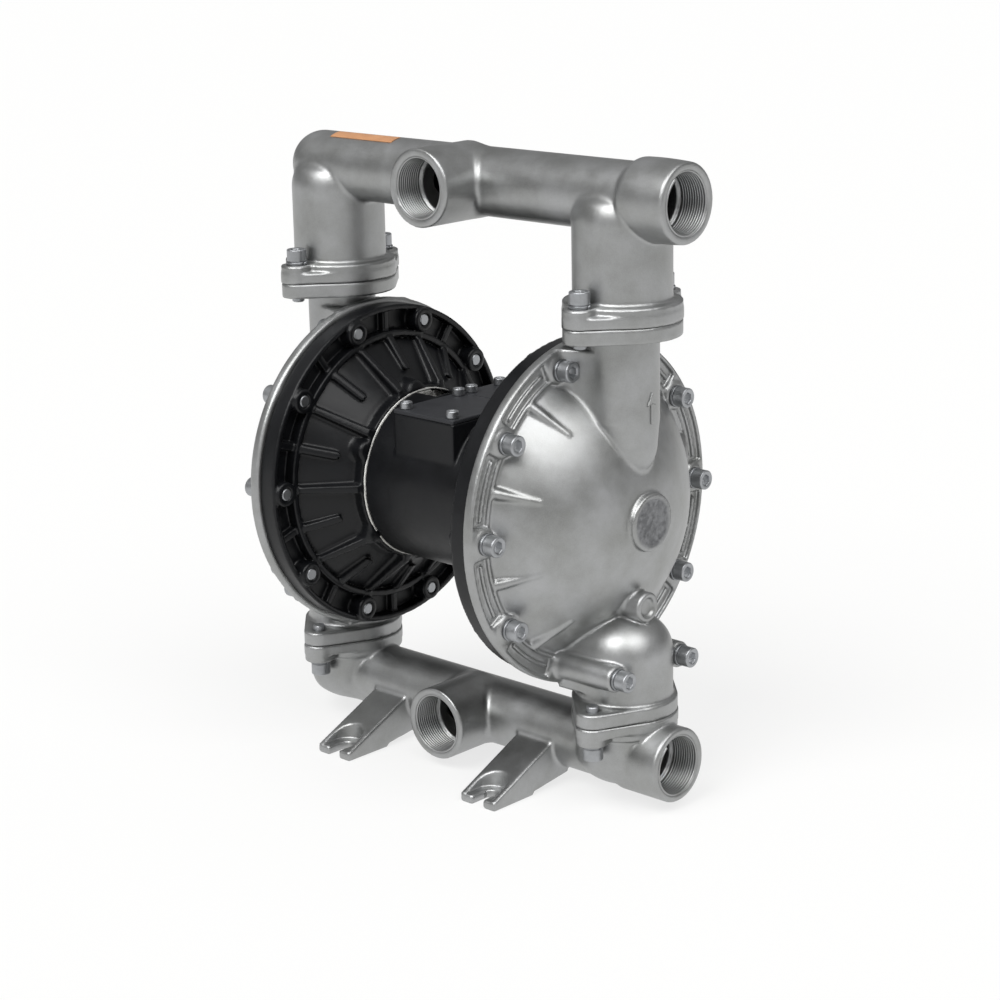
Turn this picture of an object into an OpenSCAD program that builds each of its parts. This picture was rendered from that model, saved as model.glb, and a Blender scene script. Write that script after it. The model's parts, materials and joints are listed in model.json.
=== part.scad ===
// Air operated double diaphragm pump with screwed 1 1/2 inch ports, in cast stainless steel.
// Units are millimetres. Z is up and 0 is the floor that the feet stand on. X runs along the pump
// shaft, and the end ports face +X. The middle ports face -Y, which is the front.

/* [Overall] */
// Distance from the middle to the joint between a fluid cover and its air housing
joint_x = 113.5; // [112.5:0.5:116]
// Distance from the middle to the axis of the necks and manifold legs
leg_x = 153.5; // [151:0.5:156]
// Gap from a fluid cover's rim up or down to the manifold joint
flange_gap = 17; // [15:1:22]
// Distance from the upper joint up to the discharge manifold's axis
top_leg_h = 91.5; // [89:0.5:100]
// Distance from the lower joint down to the suction manifold's axis
bottom_leg_h = 36; // [35:0.5:37]
// Height of the suction manifold's axis over the floor
floor_gap = 38; // [37:0.5:40]

/* [Fluid covers] */
// Outside radius of a fluid cover
cover_r = 138; // [137:1:140]
// Thickness of the cover's flange
rim_t = 9; // [7:0.5:10]
// Distance from the middle to the top of the dome
dome_apex_x = 180; // [176:1:184]
// Radius of the dome where it meets the flange
dome_base_r = 112; // [110:0.5:113]
// Wall of the dome and necks
cast_wall = 6; // [5:0.5:7]
// Radius of the round disc in the middle of the dome
disc_r = 22.8; // [20:0.2:26]
// Height of that disc over the dome
disc_h = 3; // [2:0.5:5]
// Radius of the opening that the diaphragm works in
chamber_r = 102; // [98:1:104]
// Outside radius of the upper neck
neck_r = 28; // [27:0.5:29]
// Height of the neck's rounded lower end over the shaft
neck_end = 58; // [56:1:64]
// Outside radius of the lower ball chamber
bulb_r = 38; // [37.5:0.5:39]
// Depth of the ball chamber's rounded top under the shaft
bulb_end = 114; // [113:0.5:116]
// Outside radius of the drain boss
drain_r = 12; // [11:0.5:13.5]
// Distance from the shaft down to the drain boss
drain_drop = 69; // [66:1:72]
// Distance from the middle to the face of the drain boss
drain_x = 178; // [175:1:181]
// Radius of the recess in the drain boss
drain_recess_r = 7.5; // [6:0.5:9]
// Depth of that recess
drain_recess_d = 3; // [1:0.5:4]
// Depth of the casting pockets in the flange
pocket_d = 3.5; // [2:0.5:5]
// Length of a stiffening rib on the dome, measured along the slope
dome_rib_l = 34; // [30:1:44]
// Radius of that rib at its thick end
dome_rib_r = 3.4; // [2.5:0.1:4]
// Radius of the way from the pump chamber up into the neck
way_r = 18; // [16:0.5:19]
// Radius of the way from the ball chamber up into the pump chamber
low_way_r = 12; // [10:0.5:13]

/* [Cover bolts] */
// Radius of the circle of cover bolts
bolt_circle_r = 123; // [122:0.5:124]
// Number of bolts in a cover
cover_bolt_n = 10; // [10]
// Radius of the thread of all M10 bolts
bolt_r = 5; // [4.5:0.25:5.25]
// Clearance of a bolt in its through hole
bolt_gap = 0.5; // [0.3:0.1:0.8]
// Clearance of a thread in its tapped hole
thread_gap = 0.05; // [0.03:0.01:0.1]
// Radius of a bolt head
head_r = 8; // [7.5:0.25:8.5]
// Height of a bolt head
head_h = 10; // [8:0.5:11]
// Radius of the hexagon socket, over its corners
socket_r = 4.6; // [4:0.1:5]
// Depth of the hexagon socket
socket_d = 5.5; // [4:0.5:6]
// Thickness of a spring washer
washer_t = 2.6; // [2:0.1:3]
// Outside radius of a spring washer
washer_r = 8.8; // [8.5:0.1:9.5]
// Radius of a bolt boss on the fluid cover
boss_r = 11.5; // [10.5:0.5:12]
// Height of a bolt boss over the cover's flange
boss_h = 2; // [1:0.5:3]
// Height over the flange of the two long bosses beside the ball chamber
long_boss_h = 56; // [52:1:58]

/* [Air housings] */
// Outside radius of an air housing
housing_r = 134.5; // [133:0.5:136]
// Width of the housing's outer band
band_w = 15.5; // [14:0.5:17]
// Thickness of the housing's outer band, measured from outside in
band_t = 4.5; // [3.5:0.5:5]
// Depth of the channel between the band and the inner ridge
channel_d = 10; // [8:0.5:11]
// Outside radius of the inner ridge
ridge_r = 113; // [112:0.5:113.5]
// Thickness of the inner ridge
ridge_t = 5.5; // [4:0.5:6]
// Height of the bolt bosses over the band
housing_boss_h = 3.5; // [1:0.5:4]
// Radius of the housing's bolt bosses
housing_boss_r = 9.5; // [8.5:0.25:10]
// Radius of the housing's hub, where it meets the centre block
hub_r = 69.5; // [68:0.5:71]
// Thickness of the housing's end wall
end_wall = 11.5; // [10:0.5:13]
// Thickness of the housing's stiffening ribs
rib_t = 5; // [4:0.5:7]
// Height of those ribs over the cone
rib_h = 6; // [4:0.5:7]
// Radius of the circle of screws that hold a housing to the centre block
housing_screw_circle_r = 52; // [50:0.5:54]
// Number of those screws
housing_screw_n = 6; // [6]
// Radius of the thread of a housing screw
housing_screw_r = 4; // [3:0.25:4.5]
// Length of a housing screw under its head
housing_screw_l = 30; // [24:1:36]

/* [Centre block] */
// Half the length of the centre block
block_half = 60.2; // [59.2:0.2:61.2]
// Thickness of the gasket between the block and a housing
gasket_t = 1; // [0.6:0.2:1.6]
// Half the width of the valve box, along the shaft
box_half_x = 33; // [32:0.5:35]
// Distance from the shaft to the front and back faces of the valve box
box_half_y = 62; // [61:0.5:64]
// Height of the valve box over the shaft
box_rise = 65; // [64:0.5:67]
// Thickness of the plates on the valve box
plate_t = 3.5; // [3:0.5:5]
// Distance from the shaft back to the seam between the two plates
seam_y = 13; // [10:0.5:16]
// Gap between the two plates
seam_gap = 0.6; // [0.3:0.1:1]
// Distance of a plate screw from the plate's edges
screw_inset = 7.5; // [6.5:0.25:9]
// Radius of a plate screw's thread
plate_screw_r = 3; // [2:0.25:3.25]
// Length of a plate screw under its head
plate_screw_l = 16; // [12:1:18]

/* [Diaphragms and shaft] */
// Radius of the pump shaft
shaft_r = 12.5; // [11.5:0.25:13.5]
// Radius of the studs at the shaft's ends
stud_r = 8; // [7:0.25:9]
// Travel of the shaft to either side of its middle
stroke = 20; // [14:1:20]
// Thickness of the diaphragm
diaphragm_t = 4; // [3:0.5:5]
// Outside radius of the diaphragm
diaphragm_r = 111; // [109:0.5:111]
// Height of the diaphragm's roll over its flat middle
roll_h = 8; // [5:0.5:10]
// Radius of the plates on both sides of the diaphragm
plate_r = 55; // [53:0.5:57]
// Thickness of the inner plate
inner_plate_t = 7; // [6:0.5:8]
// Thickness of the outer plate at its edge
outer_plate_t = 5; // [4:0.5:7]
// Height of the outer plate's hub over the diaphragm
outer_hub_h = 16; // [14:0.5:18]
// Radius of the outer plate's hub
outer_hub_r = 18; // [16:0.5:20]
// Running clearance of the shaft in its bushes
run_gap = 0.05; // [0.02:0.01:0.09]
// Clearance of a sliding or fitted piece that does not run
fit_gap = 0.05; // [0.02:0.01:0.09]
// Wall of the shaft bushes
bush_wall = 4.5; // [3.5:0.5:6]
// Length of a shaft bush
bush_l = 34; // [28:1:40]
// Width of the shaft seal
seal_w = 8; // [6:0.5:10]

/* [Air valve] */
// Distance from the shaft forward to the valve spool
spool_y = 18; // [16:1:20]
// Height of the valve spool over the shaft
spool_rise = 43; // [42:1:44]
// Radius of the valve spool
spool_r = 9.5; // [8.5:0.25:10]
// Length of the valve spool
spool_l = 46; // [40:1:48]
// Travel of the valve spool to either side of its middle
spool_stroke = 6; // [4:0.5:6]
// Wall of the valve sleeve
sleeve_wall = 4; // [3:0.5:4.5]
// Half the length of the valve sleeve
sleeve_half = 30; // [29.5:0.5:32]
// Thickness of the plugs at the sleeve's ends
plug_t = 6; // [4:0.5:8]
// Distance from the shaft back to the pilot rod
pilot_y = 20; // [18:1:22]
// Height of the pilot rod over the shaft
pilot_rise = 34; // [33:1:35]
// Radius of the pilot rod
pilot_r = 4; // [3:0.25:4.5]
// Travel of the pilot rod to either side of its middle
pilot_stroke = 5; // [3:0.5:5]
// Length of a pilot bush
pilot_bush_l = 20; // [16:1:24]
// Wall of a pilot bush
pilot_bush_wall = 3; // [2:0.5:3.5]
// Radius of the tapped air inlet, G 1/2
air_in_r = 10.5; // [9.5:0.25:10.75]
// Radius of the tapped exhaust outlet, G 3/4
air_out_r = 13.2; // [12:0.2:13.4]
// Depth of the tapped air ports
air_port_l = 16; // [14:1:18]
// Distance from the shaft back to the face of the air ports
air_face_y = 76; // [74:1:80]
// Wall of the air port bosses
air_boss_wall = 6; // [5:0.5:7]
// Distance from the shaft down to the exhaust outlet
air_out_drop = 30; // [28:1:32]
// Distance from the shaft up to the air inlet
air_in_rise = 12; // [12:0.5:14]

/* [Manifolds] */
// Outside radius of the manifold tubes
tube_r = 27; // [26:0.5:28]
// Radius of the waterway in the tubes
bore_r = 21; // [19:0.5:21.5]
// Outside radius of the manifold legs
leg_r = 38; // [37.5:0.5:39]
// Thickness of the manifold flanges
flange_t = 15; // [13:0.5:16]
// Thickness of the cover's neck flanges
neck_flange_t = 12; // [11:0.5:13]
// Radius of the round middle of a discharge flange
flange_r = 45.5; // [45:0.5:46]
// Radius of the round middle of a suction flange
low_flange_r = 41.5; // [41:0.5:43]
// Turn of the suction flanges' bolt line about the leg axis, in degrees
low_flange_turn = 10; // [6:1:12]
// Distance from the leg axis to a flange bolt
flange_bolt_y = 49; // [48.5:0.5:51]
// Radius of the flange round its bolts
lobe_r = 13; // [12.5:0.5:14]
// Length that a flange bolt stands out of the tapped flange
bolt_tail = 4; // [2:0.5:6]
// Radius of the tapped G 1 1/2 ports, at the root of the thread
port_r = 23.9; // [22.5:0.1:24.2]
// Depth of the port threads
port_thread_l = 26; // [22:1:28]
// Outside radius of the discharge port collars
top_collar_r = 30.6; // [29.6:0.2:31.6]
// Outside radius of the suction port collars
bottom_collar_r = 29.8; // [29:0.2:30.6]
// Distance from the middle to the face of the discharge end port
top_port_x = 215.5; // [213:0.5:220]
// Distance from the middle to the face of the suction end port
bottom_port_x = 208; // [206:0.5:212]
// Distance from the shaft forward to the face of the discharge front port
top_port_y = 60.5; // [59:0.5:66]
// Distance from the shaft forward to the face of the suction front port
bottom_port_y = 57; // [55:0.5:60]

/* [Feet] */
// Distance from the middle to a foot
foot_x = 82; // [80:1:86]
// Width of a foot
foot_w = 37; // [35:0.5:40]
// Distance from the middle to the tips of the feet
foot_reach = 95; // [93:1:98]
// Distance from the middle to the middle of a foot's bolt
foot_bolt_y = 80; // [78:0.5:82]
// Width of the open slot in a foot
slot_w = 12; // [10.5:0.5:13]
// Radius of the spot face round a foot's bolt
spot_r = 13.5; // [12.5:0.25:14.5]
// Thickness of the foot under the spot face
foot_t = 7; // [6:0.5:9]
// Height of the top edge of the foot, at the tube
foot_top = 43; // [41:0.5:46]
// Distance from the middle to the back edge of the foot's pad
pad_y = 50; // [46:1:54]
// Height of the step behind the pad
pad_step = 2.5; // [1.5:0.5:4]

/* [Ball valves] */
// Radius of a valve ball
ball_r = 24; // [23:0.25:24.5]
// Lift of a valve ball
ball_lift = 12; // [8:0.5:12]
// Radius of the ball chambers
ball_chamber_r = 31; // [30:0.25:31.5]
// Outside radius of a valve seat
seat_r = 35; // [33.5:0.25:35.5]
// Radius of the hole in a valve seat
seat_hole_r = 17.5; // [16:0.25:19]
// Thickness of a valve seat
seat_t = 8; // [6:0.5:8]
// Height of the ball's middle over its seat
ball_rise = 13; // [12:0.25:15]
// Clearance between a ball and its guides
guide_gap = 0.8; // [0.5:0.1:1.5]
// Thickness of the guides and stops in a ball chamber
guide_t = 5; // [4:0.5:6]
// Height of the bars that stop a ball
stop_h = 7; // [5:0.5:8]
// Thickness of the sealing ring at a manifold joint
oring_t = 3; // [2.5:0.1:3.5]

/* [Label] */
// Length of the bare label on the discharge tube
label_l = 70; // [50:1:74]
// Width of the label, in degrees of the tube
label_deg = 24; // [18:1:30]
// Thickness of the label
label_t = 0.5; // [0.3:0.1:1]
// Distance from the middle to the middle of the label
label_x = 112; // [108:1:114]
// Turn of the label from the top of the tube towards the front, in degrees
label_turn = 15; // [10:1:20]

/* [Hidden] */
$fn = 72;
// Heights over the floor, which follow the size of the fluid covers
flange_rise = cover_r + flange_gap;
top_rise = flange_rise + top_leg_h;
bottom_drop = flange_rise + bottom_leg_h;
shaft_z = bottom_drop + floor_gap;
top_joint_z = shaft_z + flange_rise;
bottom_joint_z = shaft_z - flange_rise;
top_axis_z = shaft_z + top_rise;
bottom_axis_z = shaft_z - bottom_drop;
// Sphere that the dome is cut from
rim_x = joint_x + rim_t;
dome_h = dome_apex_x - rim_x;
dome_sphere_r = (dome_base_r * dome_base_r + dome_h * dome_h) / (2 * dome_h);
dome_mid_x = dome_apex_x - dome_sphere_r;
boss_x = rim_x + boss_h;
long_boss_x = rim_x + long_boss_h;
bolt_step = 360 / cover_bolt_n;
// Planes of the air housing, from the joint towards the middle
hub_x = block_half + gasket_t;
band_x = joint_x - band_w;
channel_x = band_x + channel_d;
housing_boss_x = band_x - housing_boss_h;
floor_x = hub_x + end_wall;
ridge_in_r = ridge_r - ridge_t;
half_t = diaphragm_t / 2;
inner_face_x = joint_x - half_t - inner_plate_t;
shaft_hole_r = shaft_r + 1.5;
housing_head_h = 8;
housing_head_r = 6.5;
socket_small_r = 3;
// The rod touches an inner plate just as the shaft reaches the end of its travel
pilot_half = inner_face_x - stroke + pilot_stroke - 0.1;
bush_out_r = shaft_r + run_gap + bush_wall;
sleeve_out_r = spool_r + run_gap + sleeve_wall;
pilot_bush_out_r = pilot_r + run_gap + pilot_bush_wall;
// Plate outline, with the same inset on all sides
plate_front_y = -box_half_y;
plate_back_y = box_half_y;
box_top_z = shaft_z + box_rise;
screw_head_r = 5;
screw_head_h = 6;
// Rounded ends of the manifold legs: each is cut from a large sphere that passes through the tube
end_r = 1.3 * leg_r;
elbow_top_z = top_axis_z + 3 - sqrt(end_r * end_r - tube_r * tube_r);
elbow_bottom_z = bottom_axis_z - tube_r + end_r + 1;
top_core_z = elbow_top_z + end_r - ball_chamber_r - 5;
bottom_core_z = bottom_axis_z - tube_r + leg_r;
tube_end_x = leg_x + leg_r - 1.5 * tube_r - 1;
groove_r = seat_r + 3.3;
// The front and back of the pump, or its left and right side
sides = [-1, 1];

// A cylinder along X from x0 to x1
module along_x(x0, x1, r) {
    translate([x0, 0, 0]) rotate([0, 90, 0]) cylinder(h = x1 - x0, r = r);
}

// A cylinder along Y from y0 to y1
module along_y(y0, y1, r) {
    translate([0, y0, 0]) rotate([-90, 0, 0]) cylinder(h = y1 - y0, r = r);
}

// A cylinder along Z from z0 to z1
module along_z(z0, z1, r) {
    translate([0, 0, z0]) cylinder(h = z1 - z0, r = r);
}

// Turns an outline of [radius, x] points about the shaft axis
module turned(points) {
    rotate([0, 90, 0]) rotate_extrude() polygon(points);
}

// A ring about the shaft axis
module ring_x(x0, x1, r_in, r_out) {
    turned([[r_in, x0], [r_out, x0], [r_out, x1], [r_in, x1]]);
}

// Puts its children at each cover bolt. The two lowest bolts are index 4 and 5.
module at_cover_bolts(list = [0:cover_bolt_n - 1]) {
    for (i = list) rotate([-bolt_step * (i + 0.5), 0, 0]) translate([0, 0, bolt_circle_r]) children();
}

// Turns its children to the middle between neighbouring cover bolts
module between_bolts(list) {
    for (i = list) rotate([-bolt_step * i, 0, 0]) children();
}

// The right-hand pieces are drawn, and the left-hand ones are their mirror images
module on_side(side) {
    if (side > 0) children();
    else mirror([1, 0, 0]) children();
}

// An oval flange with one bolt in front and one behind, from z0 up
module oval_flange(z0, h, mid_r) {
    a = acos((mid_r - lobe_r) / flange_bolt_y);
    s = sin(a);
    c = cos(a);
    translate([0, 0, z0]) linear_extrude(h) union() {
        circle(mid_r);
        for (m = sides) translate([0, m * flange_bolt_y]) circle(lobe_r);
        polygon([
            [mid_r * s, mid_r * c], [lobe_r * s, flange_bolt_y + lobe_r * c],
            [-lobe_r * s, flange_bolt_y + lobe_r * c], [-mid_r * s, mid_r * c],
            [-mid_r * s, -mid_r * c], [-lobe_r * s, -flange_bolt_y - lobe_r * c],
            [lobe_r * s, -flange_bolt_y - lobe_r * c], [mid_r * s, -mid_r * c]
        ]);
    }
}

// Holes for the two flange bolts
module flange_holes(z0, h, r) {
    for (m = sides) translate([0, m * flange_bolt_y, 0]) along_z(z0, z0 + h, r);
}

// The space round a ball: a bore with four guides and a cross that stops the ball.
// z0 is the seat's top and z1 the bore's rounded end.
module ball_space(z0, z1) {
    stop_z = z0 + ball_rise + ball_lift + ball_r + 0.5;
    guide_in = ball_r + guide_gap;
    difference() {
        union() {
            along_z(z0 - 1, z1, ball_chamber_r);
            translate([0, 0, z1]) sphere(ball_chamber_r);
        }
        for (a = [45, 135, 225, 315]) rotate([0, 0, a])
            translate([guide_in, -guide_t / 2, z0 + ball_rise])
                cube([ball_chamber_r, guide_t, stop_z + stop_h - z0 - ball_rise]);
        for (a = [45, 135]) rotate([0, 0, a])
            translate([-ball_chamber_r - 1, -guide_t / 2, stop_z])
                cube([2 * ball_chamber_r + 2, guide_t, stop_h]);
    }
}

// Groove for a joint ring, cut up into a face at z0
module ring_groove(z0) {
    difference() {
        along_z(z0 - 1, z0 + oring_t + 0.1, groove_r + oring_t / 2 + 0.2);
        along_z(z0 - 2, z0 + oring_t + 1, groove_r - oring_t / 2 - 0.2);
    }
}

// Sphere of the dome, with its poles on the shaft axis
module dome_ball(r) {
    translate([dome_mid_x, 0, 0]) rotate([9, 0, 0]) rotate([0, 90, 0]) sphere(r, $fn = 144);
}

// Cover: flange, dome, necks and bosses as one casting, measured from the shaft
module cover_outside(side) {
    along_x(joint_x, rim_x, cover_r);
    intersection() {
        dome_ball(dome_sphere_r);
        along_x(joint_x, dome_apex_x + 1, dome_base_r);
    }
    along_x(dome_apex_x - cast_wall, dome_apex_x + disc_h, disc_r);
    at_cover_bolts() along_x(joint_x, boss_x, boss_r);
    at_cover_bolts([4, 5]) along_x(joint_x, long_boss_x, boss_r - 1);
    cover_neck();
    cover_bulb(side);
    cover_ribs();
    translate([0, 0, -drain_drop]) along_x(dome_mid_x + dome_sphere_r * 0.7, drain_x, drain_r);
}

// Upper neck, a round tube with flat sides that run back to the flange
module cover_neck() {
    back_x = joint_x + rim_t / 2;
    translate([leg_x, 0, 0]) {
        along_z(neck_end, flange_rise - 1, neck_r);
        translate([0, 0, neck_end]) sphere(neck_r);
        oval_flange(flange_rise - neck_flange_t, neck_flange_t, flange_r);
    }
    translate([back_x, -neck_r, neck_end]) cube([leg_x - back_x, 2 * neck_r, cover_r - neck_end]);
    translate([0, 0, neck_end]) along_x(back_x, leg_x, neck_r);
}

// Lower ball chamber with its rounded top
module cover_bulb(side) {
    back_x = joint_x + rim_t / 2;
    translate([leg_x, 0, 0]) {
        along_z(-flange_rise + 1, -bulb_end, bulb_r);
        translate([0, 0, -bulb_end]) sphere(bulb_r);
        rotate([0, 0, side * low_flange_turn])
            oval_flange(-flange_rise, neck_flange_t, low_flange_r);
    }
    translate([back_x, -bulb_r, -cover_r]) cube([leg_x - back_x, 2 * bulb_r, cover_r - bulb_end]);
    translate([0, 0, -bulb_end]) along_x(back_x, leg_x, bulb_r);
}

// Pointed ribs that lie on the slope of the dome
module cover_ribs() {
    slope = acos((rim_x - dome_mid_x) / dome_sphere_r) * 0.86;
    between_bolts([1, 2, 3, 4, 6, 7, 8, 9]) translate([rim_x + 1, 0, dome_base_r + 1])
        rotate([0, 180 - slope, 0]) cylinder(h = dome_rib_l, r1 = dome_rib_r, r2 = 0.8);
}

// Pockets between the bolts, left by the casting core
module cover_pockets() {
    between_bolts([1, 2, 3, 4, 6, 7, 8, 9]) {
        for (band = [[dome_base_r + 3, bolt_circle_r - 1], [bolt_circle_r + 2, cover_r - 5]])
            rotate([0, 90, 0]) rotate([0, 0, 168]) translate([0, 0, rim_x - pocket_d])
                rotate_extrude(angle = 24) translate([band[0], 0])
                    square([band[1] - band[0], pocket_d + 1]);
    }
}

// Pump chamber, waterways and the diaphragm's seat, cut out of the cover
module cover_inside(side) {
    intersection() {
        dome_ball(dome_sphere_r - cast_wall);
        along_x(joint_x - 1, dome_apex_x, chamber_r);
    }
    along_x(joint_x - 1, joint_x + half_t, diaphragm_r + fit_gap);
    translate([leg_x, 0, 0]) {
        along_z(neck_end, flange_rise + 1, bore_r);
        translate([0, 0, neck_end]) sphere(bore_r);
        along_z(flange_rise - seat_t, flange_rise + 1, seat_r + fit_gap);
        ball_space(-flange_rise, -bulb_end);
        ring_groove(-flange_rise);
        flange_holes(flange_rise - neck_flange_t - 1, neck_flange_t + 2, bolt_r + thread_gap);
        rotate([0, 0, side * low_flange_turn])
            flange_holes(-flange_rise - 1, neck_flange_t + 2, bolt_r + thread_gap);
    }
    translate([0, 0, neck_end + way_r + 4]) along_x(joint_x + 6, leg_x, way_r);
    translate([0, 0, low_way_r * 1.7 - bulb_end]) along_x(joint_x + 6, leg_x - 3, low_way_r);
    at_cover_bolts() along_x(joint_x - 1, long_boss_x + 1, bolt_r + bolt_gap);
    translate([0, 0, -drain_drop]) along_x(drain_x - drain_recess_d, drain_x + 1, drain_recess_r);
}

module fluid_cover(side) {
    color("silver") on_side(side) translate([0, 0, shaft_z]) difference() {
        cover_outside(side);
        cover_pockets();
        cover_inside(side);
    }
}

// Air housing: a black dished ring with ribs, bolted between the cover and the block
module air_housing(side) {
    chamber_end_r = hub_r - 6;
    color("#2b2d31") on_side(side) translate([0, 0, shaft_z]) difference() {
        union() {
            turned([
                [0, hub_x], [hub_r, hub_x], [hub_r, hub_x + 6], [hub_r + 5, hub_x + 9],
                [ridge_in_r, channel_x - 6], [ridge_in_r, band_x], [ridge_r, band_x],
                [ridge_r, channel_x], [housing_r - band_t, channel_x],
                [housing_r - band_t, band_x], [housing_r, band_x], [housing_r, joint_x],
                [0, joint_x]
            ]);
            at_cover_bolts() along_x(housing_boss_x, joint_x, housing_boss_r);
            housing_ribs();
        }
        turned([
            [0, floor_x], [chamber_end_r, floor_x], [chamber_r - 2, joint_x - 8],
            [chamber_r, joint_x - half_t], [diaphragm_r + fit_gap, joint_x - half_t],
            [diaphragm_r + fit_gap, joint_x + 1], [0, joint_x + 1]
        ]);
        along_x(hub_x - 1, floor_x + 1, shaft_hole_r);
        at_cover_bolts() along_x(housing_boss_x - 1, joint_x + 1, bolt_r + thread_gap);
        at_pilot() along_x(hub_x - 1, floor_x + 1, pilot_r + 1);
        at_housing_screws() along_x(hub_x - 1, floor_x + 1, housing_screw_r + bolt_gap);
    }
}

// Long ribs at the bolts, short ribs between them and small webs in the channel
module housing_ribs() {
    web_top_x = channel_x - channel_d / 2;
    at_cover_bolts() translate([0, 0, -bolt_circle_r]) rib_plate([
        [hub_r - 1, hub_x + 1], [hub_r + 5, hub_x + 1], [ridge_in_r + 1, channel_x - 6 - rib_h],
        [ridge_in_r + 1, channel_x - 3], [hub_r - 1, hub_x + 8]
    ], rib_t);
    between_bolts([0:cover_bolt_n - 1]) {
        rib_plate([
            [ridge_in_r - 20, channel_x - 24], [ridge_in_r + 1, channel_x - 6 - rib_h],
            [ridge_in_r + 1, channel_x - 3], [ridge_in_r - 20, channel_x - 18]
        ], rib_t - 1);
        rib_plate([
            [ridge_r - 1, web_top_x], [housing_r - 1, web_top_x],
            [housing_r - 1, channel_x + 1], [ridge_r - 1, channel_x + 1]
        ], rib_t);
    }
}

// A flat rib that stands radially, from an outline of [radius, x] points
module rib_plate(points, t) {
    rotate([0, -90, 0]) translate([0, t / 2, 0]) rotate([90, 0, 0])
        linear_extrude(t) polygon([for (p = points) [p[0], -p[1]]]);
}

module at_pilot() {
    translate([0, pilot_y, pilot_rise]) children();
}

module at_spool() {
    translate([0, -spool_y, spool_rise]) children();
}

// Housing screws start at 30 degrees so that they miss the spool and the pilot rod
module at_housing_screws() {
    for (i = [0:housing_screw_n - 1]) rotate([60 * i + 5, 0, 0])
        translate([0, 0, housing_screw_circle_r]) children();
}

// Centre block: a drum with the valve box on it and the air ports behind
module centre_block() {
    color("#303338") translate([0, 0, shaft_z]) difference() {
        union() {
            along_x(-block_half, block_half, hub_r);
            translate([-box_half_x, -box_half_y, 0]) cube([2 * box_half_x, 2 * box_half_y, box_rise]);
            translate([0, 0, air_in_rise]) along_y(0, air_face_y, air_in_r + air_boss_wall);
            translate([0, 0, -air_out_drop]) along_y(0, air_face_y, air_out_r + air_boss_wall);
        }
        translate([-box_half_x, -box_half_y - 1, box_rise]) cube([2 * box_half_x, 2 * box_half_y + 2, hub_r]);
        along_x(-block_half - 1, block_half + 1, bush_out_r);
        at_spool() along_x(-block_half - 1, block_half + 1, sleeve_out_r);
        at_pilot() along_x(-block_half - 1, block_half + 1, pilot_bush_out_r);
        for (m = sides) mirror([m > 0 ? 0 : 1, 0, 0]) at_housing_screws()
            along_x(floor_x - housing_screw_l - 2, block_half + 1, housing_screw_r + thread_gap);
        translate([0, 0, air_in_rise]) along_y(air_face_y - air_port_l, air_face_y + 1, air_in_r);
        translate([0, 0, -air_out_drop]) along_y(air_face_y - air_port_l, air_face_y + 1, air_out_r);
        at_plate_screws() along_z(box_rise - plate_screw_l - 1, box_rise + 1, plate_screw_r + thread_gap);
    }
}

module block_gasket(side) {
    color("white") on_side(side) translate([0, 0, shaft_z]) difference() {
        along_x(block_half, hub_x, hub_r + 0.6);
        along_x(block_half - 1, hub_x + 1, shaft_hole_r + 4);
        at_pilot() along_x(block_half - 1, hub_x + 1, pilot_r + 1);
        at_housing_screws() along_x(block_half - 1, hub_x + 1, housing_screw_r + bolt_gap);
    }
}

// Screws of the two plates, from the front to the back
module at_plate_screws() {
    rows = [plate_front_y + screw_inset, seam_y - screw_inset,
        seam_y + screw_inset, plate_back_y - screw_inset];
    for (y = rows) for (m = sides) translate([m * (box_half_x - screw_inset), y, 0]) children();
}

module box_plate(y0, y1) {
    color("#3a3d42") translate([0, 0, shaft_z]) difference() {
        translate([-box_half_x, y0, box_rise]) cube([2 * box_half_x, y1 - y0, plate_t]);
        at_plate_screws() along_z(box_rise - 1, box_rise + plate_t + 1, plate_screw_r + bolt_gap / 2);
    }
}

module valve_plate() {
    box_plate(plate_front_y, seam_y - seam_gap / 2);
}

module pilot_plate() {
    box_plate(seam_y + seam_gap / 2, plate_back_y);
}

module plate_screws() {
    color("lightgray") translate([0, 0, shaft_z]) at_plate_screws()
        translate([0, 0, box_rise + plate_t])
            socket_screw(plate_screw_r, plate_screw_l, screw_head_r, screw_head_h, socket_small_r);
}

// A socket head screw along Z with its head's underside at 0 and its shank below
module socket_screw(r, l, hr, hh, sr) {
    difference() {
        union() {
            along_z(-l, 0.5, r);
            along_z(0, hh, hr);
        }
        translate([0, 0, hh * 0.45]) cylinder(h = hh, r = sr, $fn = 6);
    }
}

// Rolled diaphragm, from its hole to its rim
module diaphragm(side) {
    r0 = plate_r + 3;
    r1 = chamber_r - 4;
    span = r1 - r0;
    steps = 12;
    top = [for (i = [0:steps]) [r0 + span * i / steps, joint_x + half_t + roll_h * sin(180 * i / steps)]];
    low = [for (i = [steps:-1:0]) [r0 + span * i / steps, joint_x - half_t + roll_h * sin(180 * i / steps)]];
    color("#e8e2d0") on_side(side) translate([0, 0, shaft_z]) turned(concat(
        [[stud_r + fit_gap, joint_x + half_t]], top, [[diaphragm_r, joint_x + half_t]],
        [[diaphragm_r, joint_x - half_t]], low, [[stud_r + fit_gap, joint_x - half_t]]
    ));
}

module inner_plate(side) {
    color("slategray") on_side(side) translate([0, 0, shaft_z])
        turned([
            [stud_r + fit_gap, inner_face_x], [plate_r - 3, inner_face_x],
            [plate_r, inner_face_x + 3], [plate_r, joint_x - half_t],
            [stud_r + fit_gap, joint_x - half_t]
        ]);
}

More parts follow.
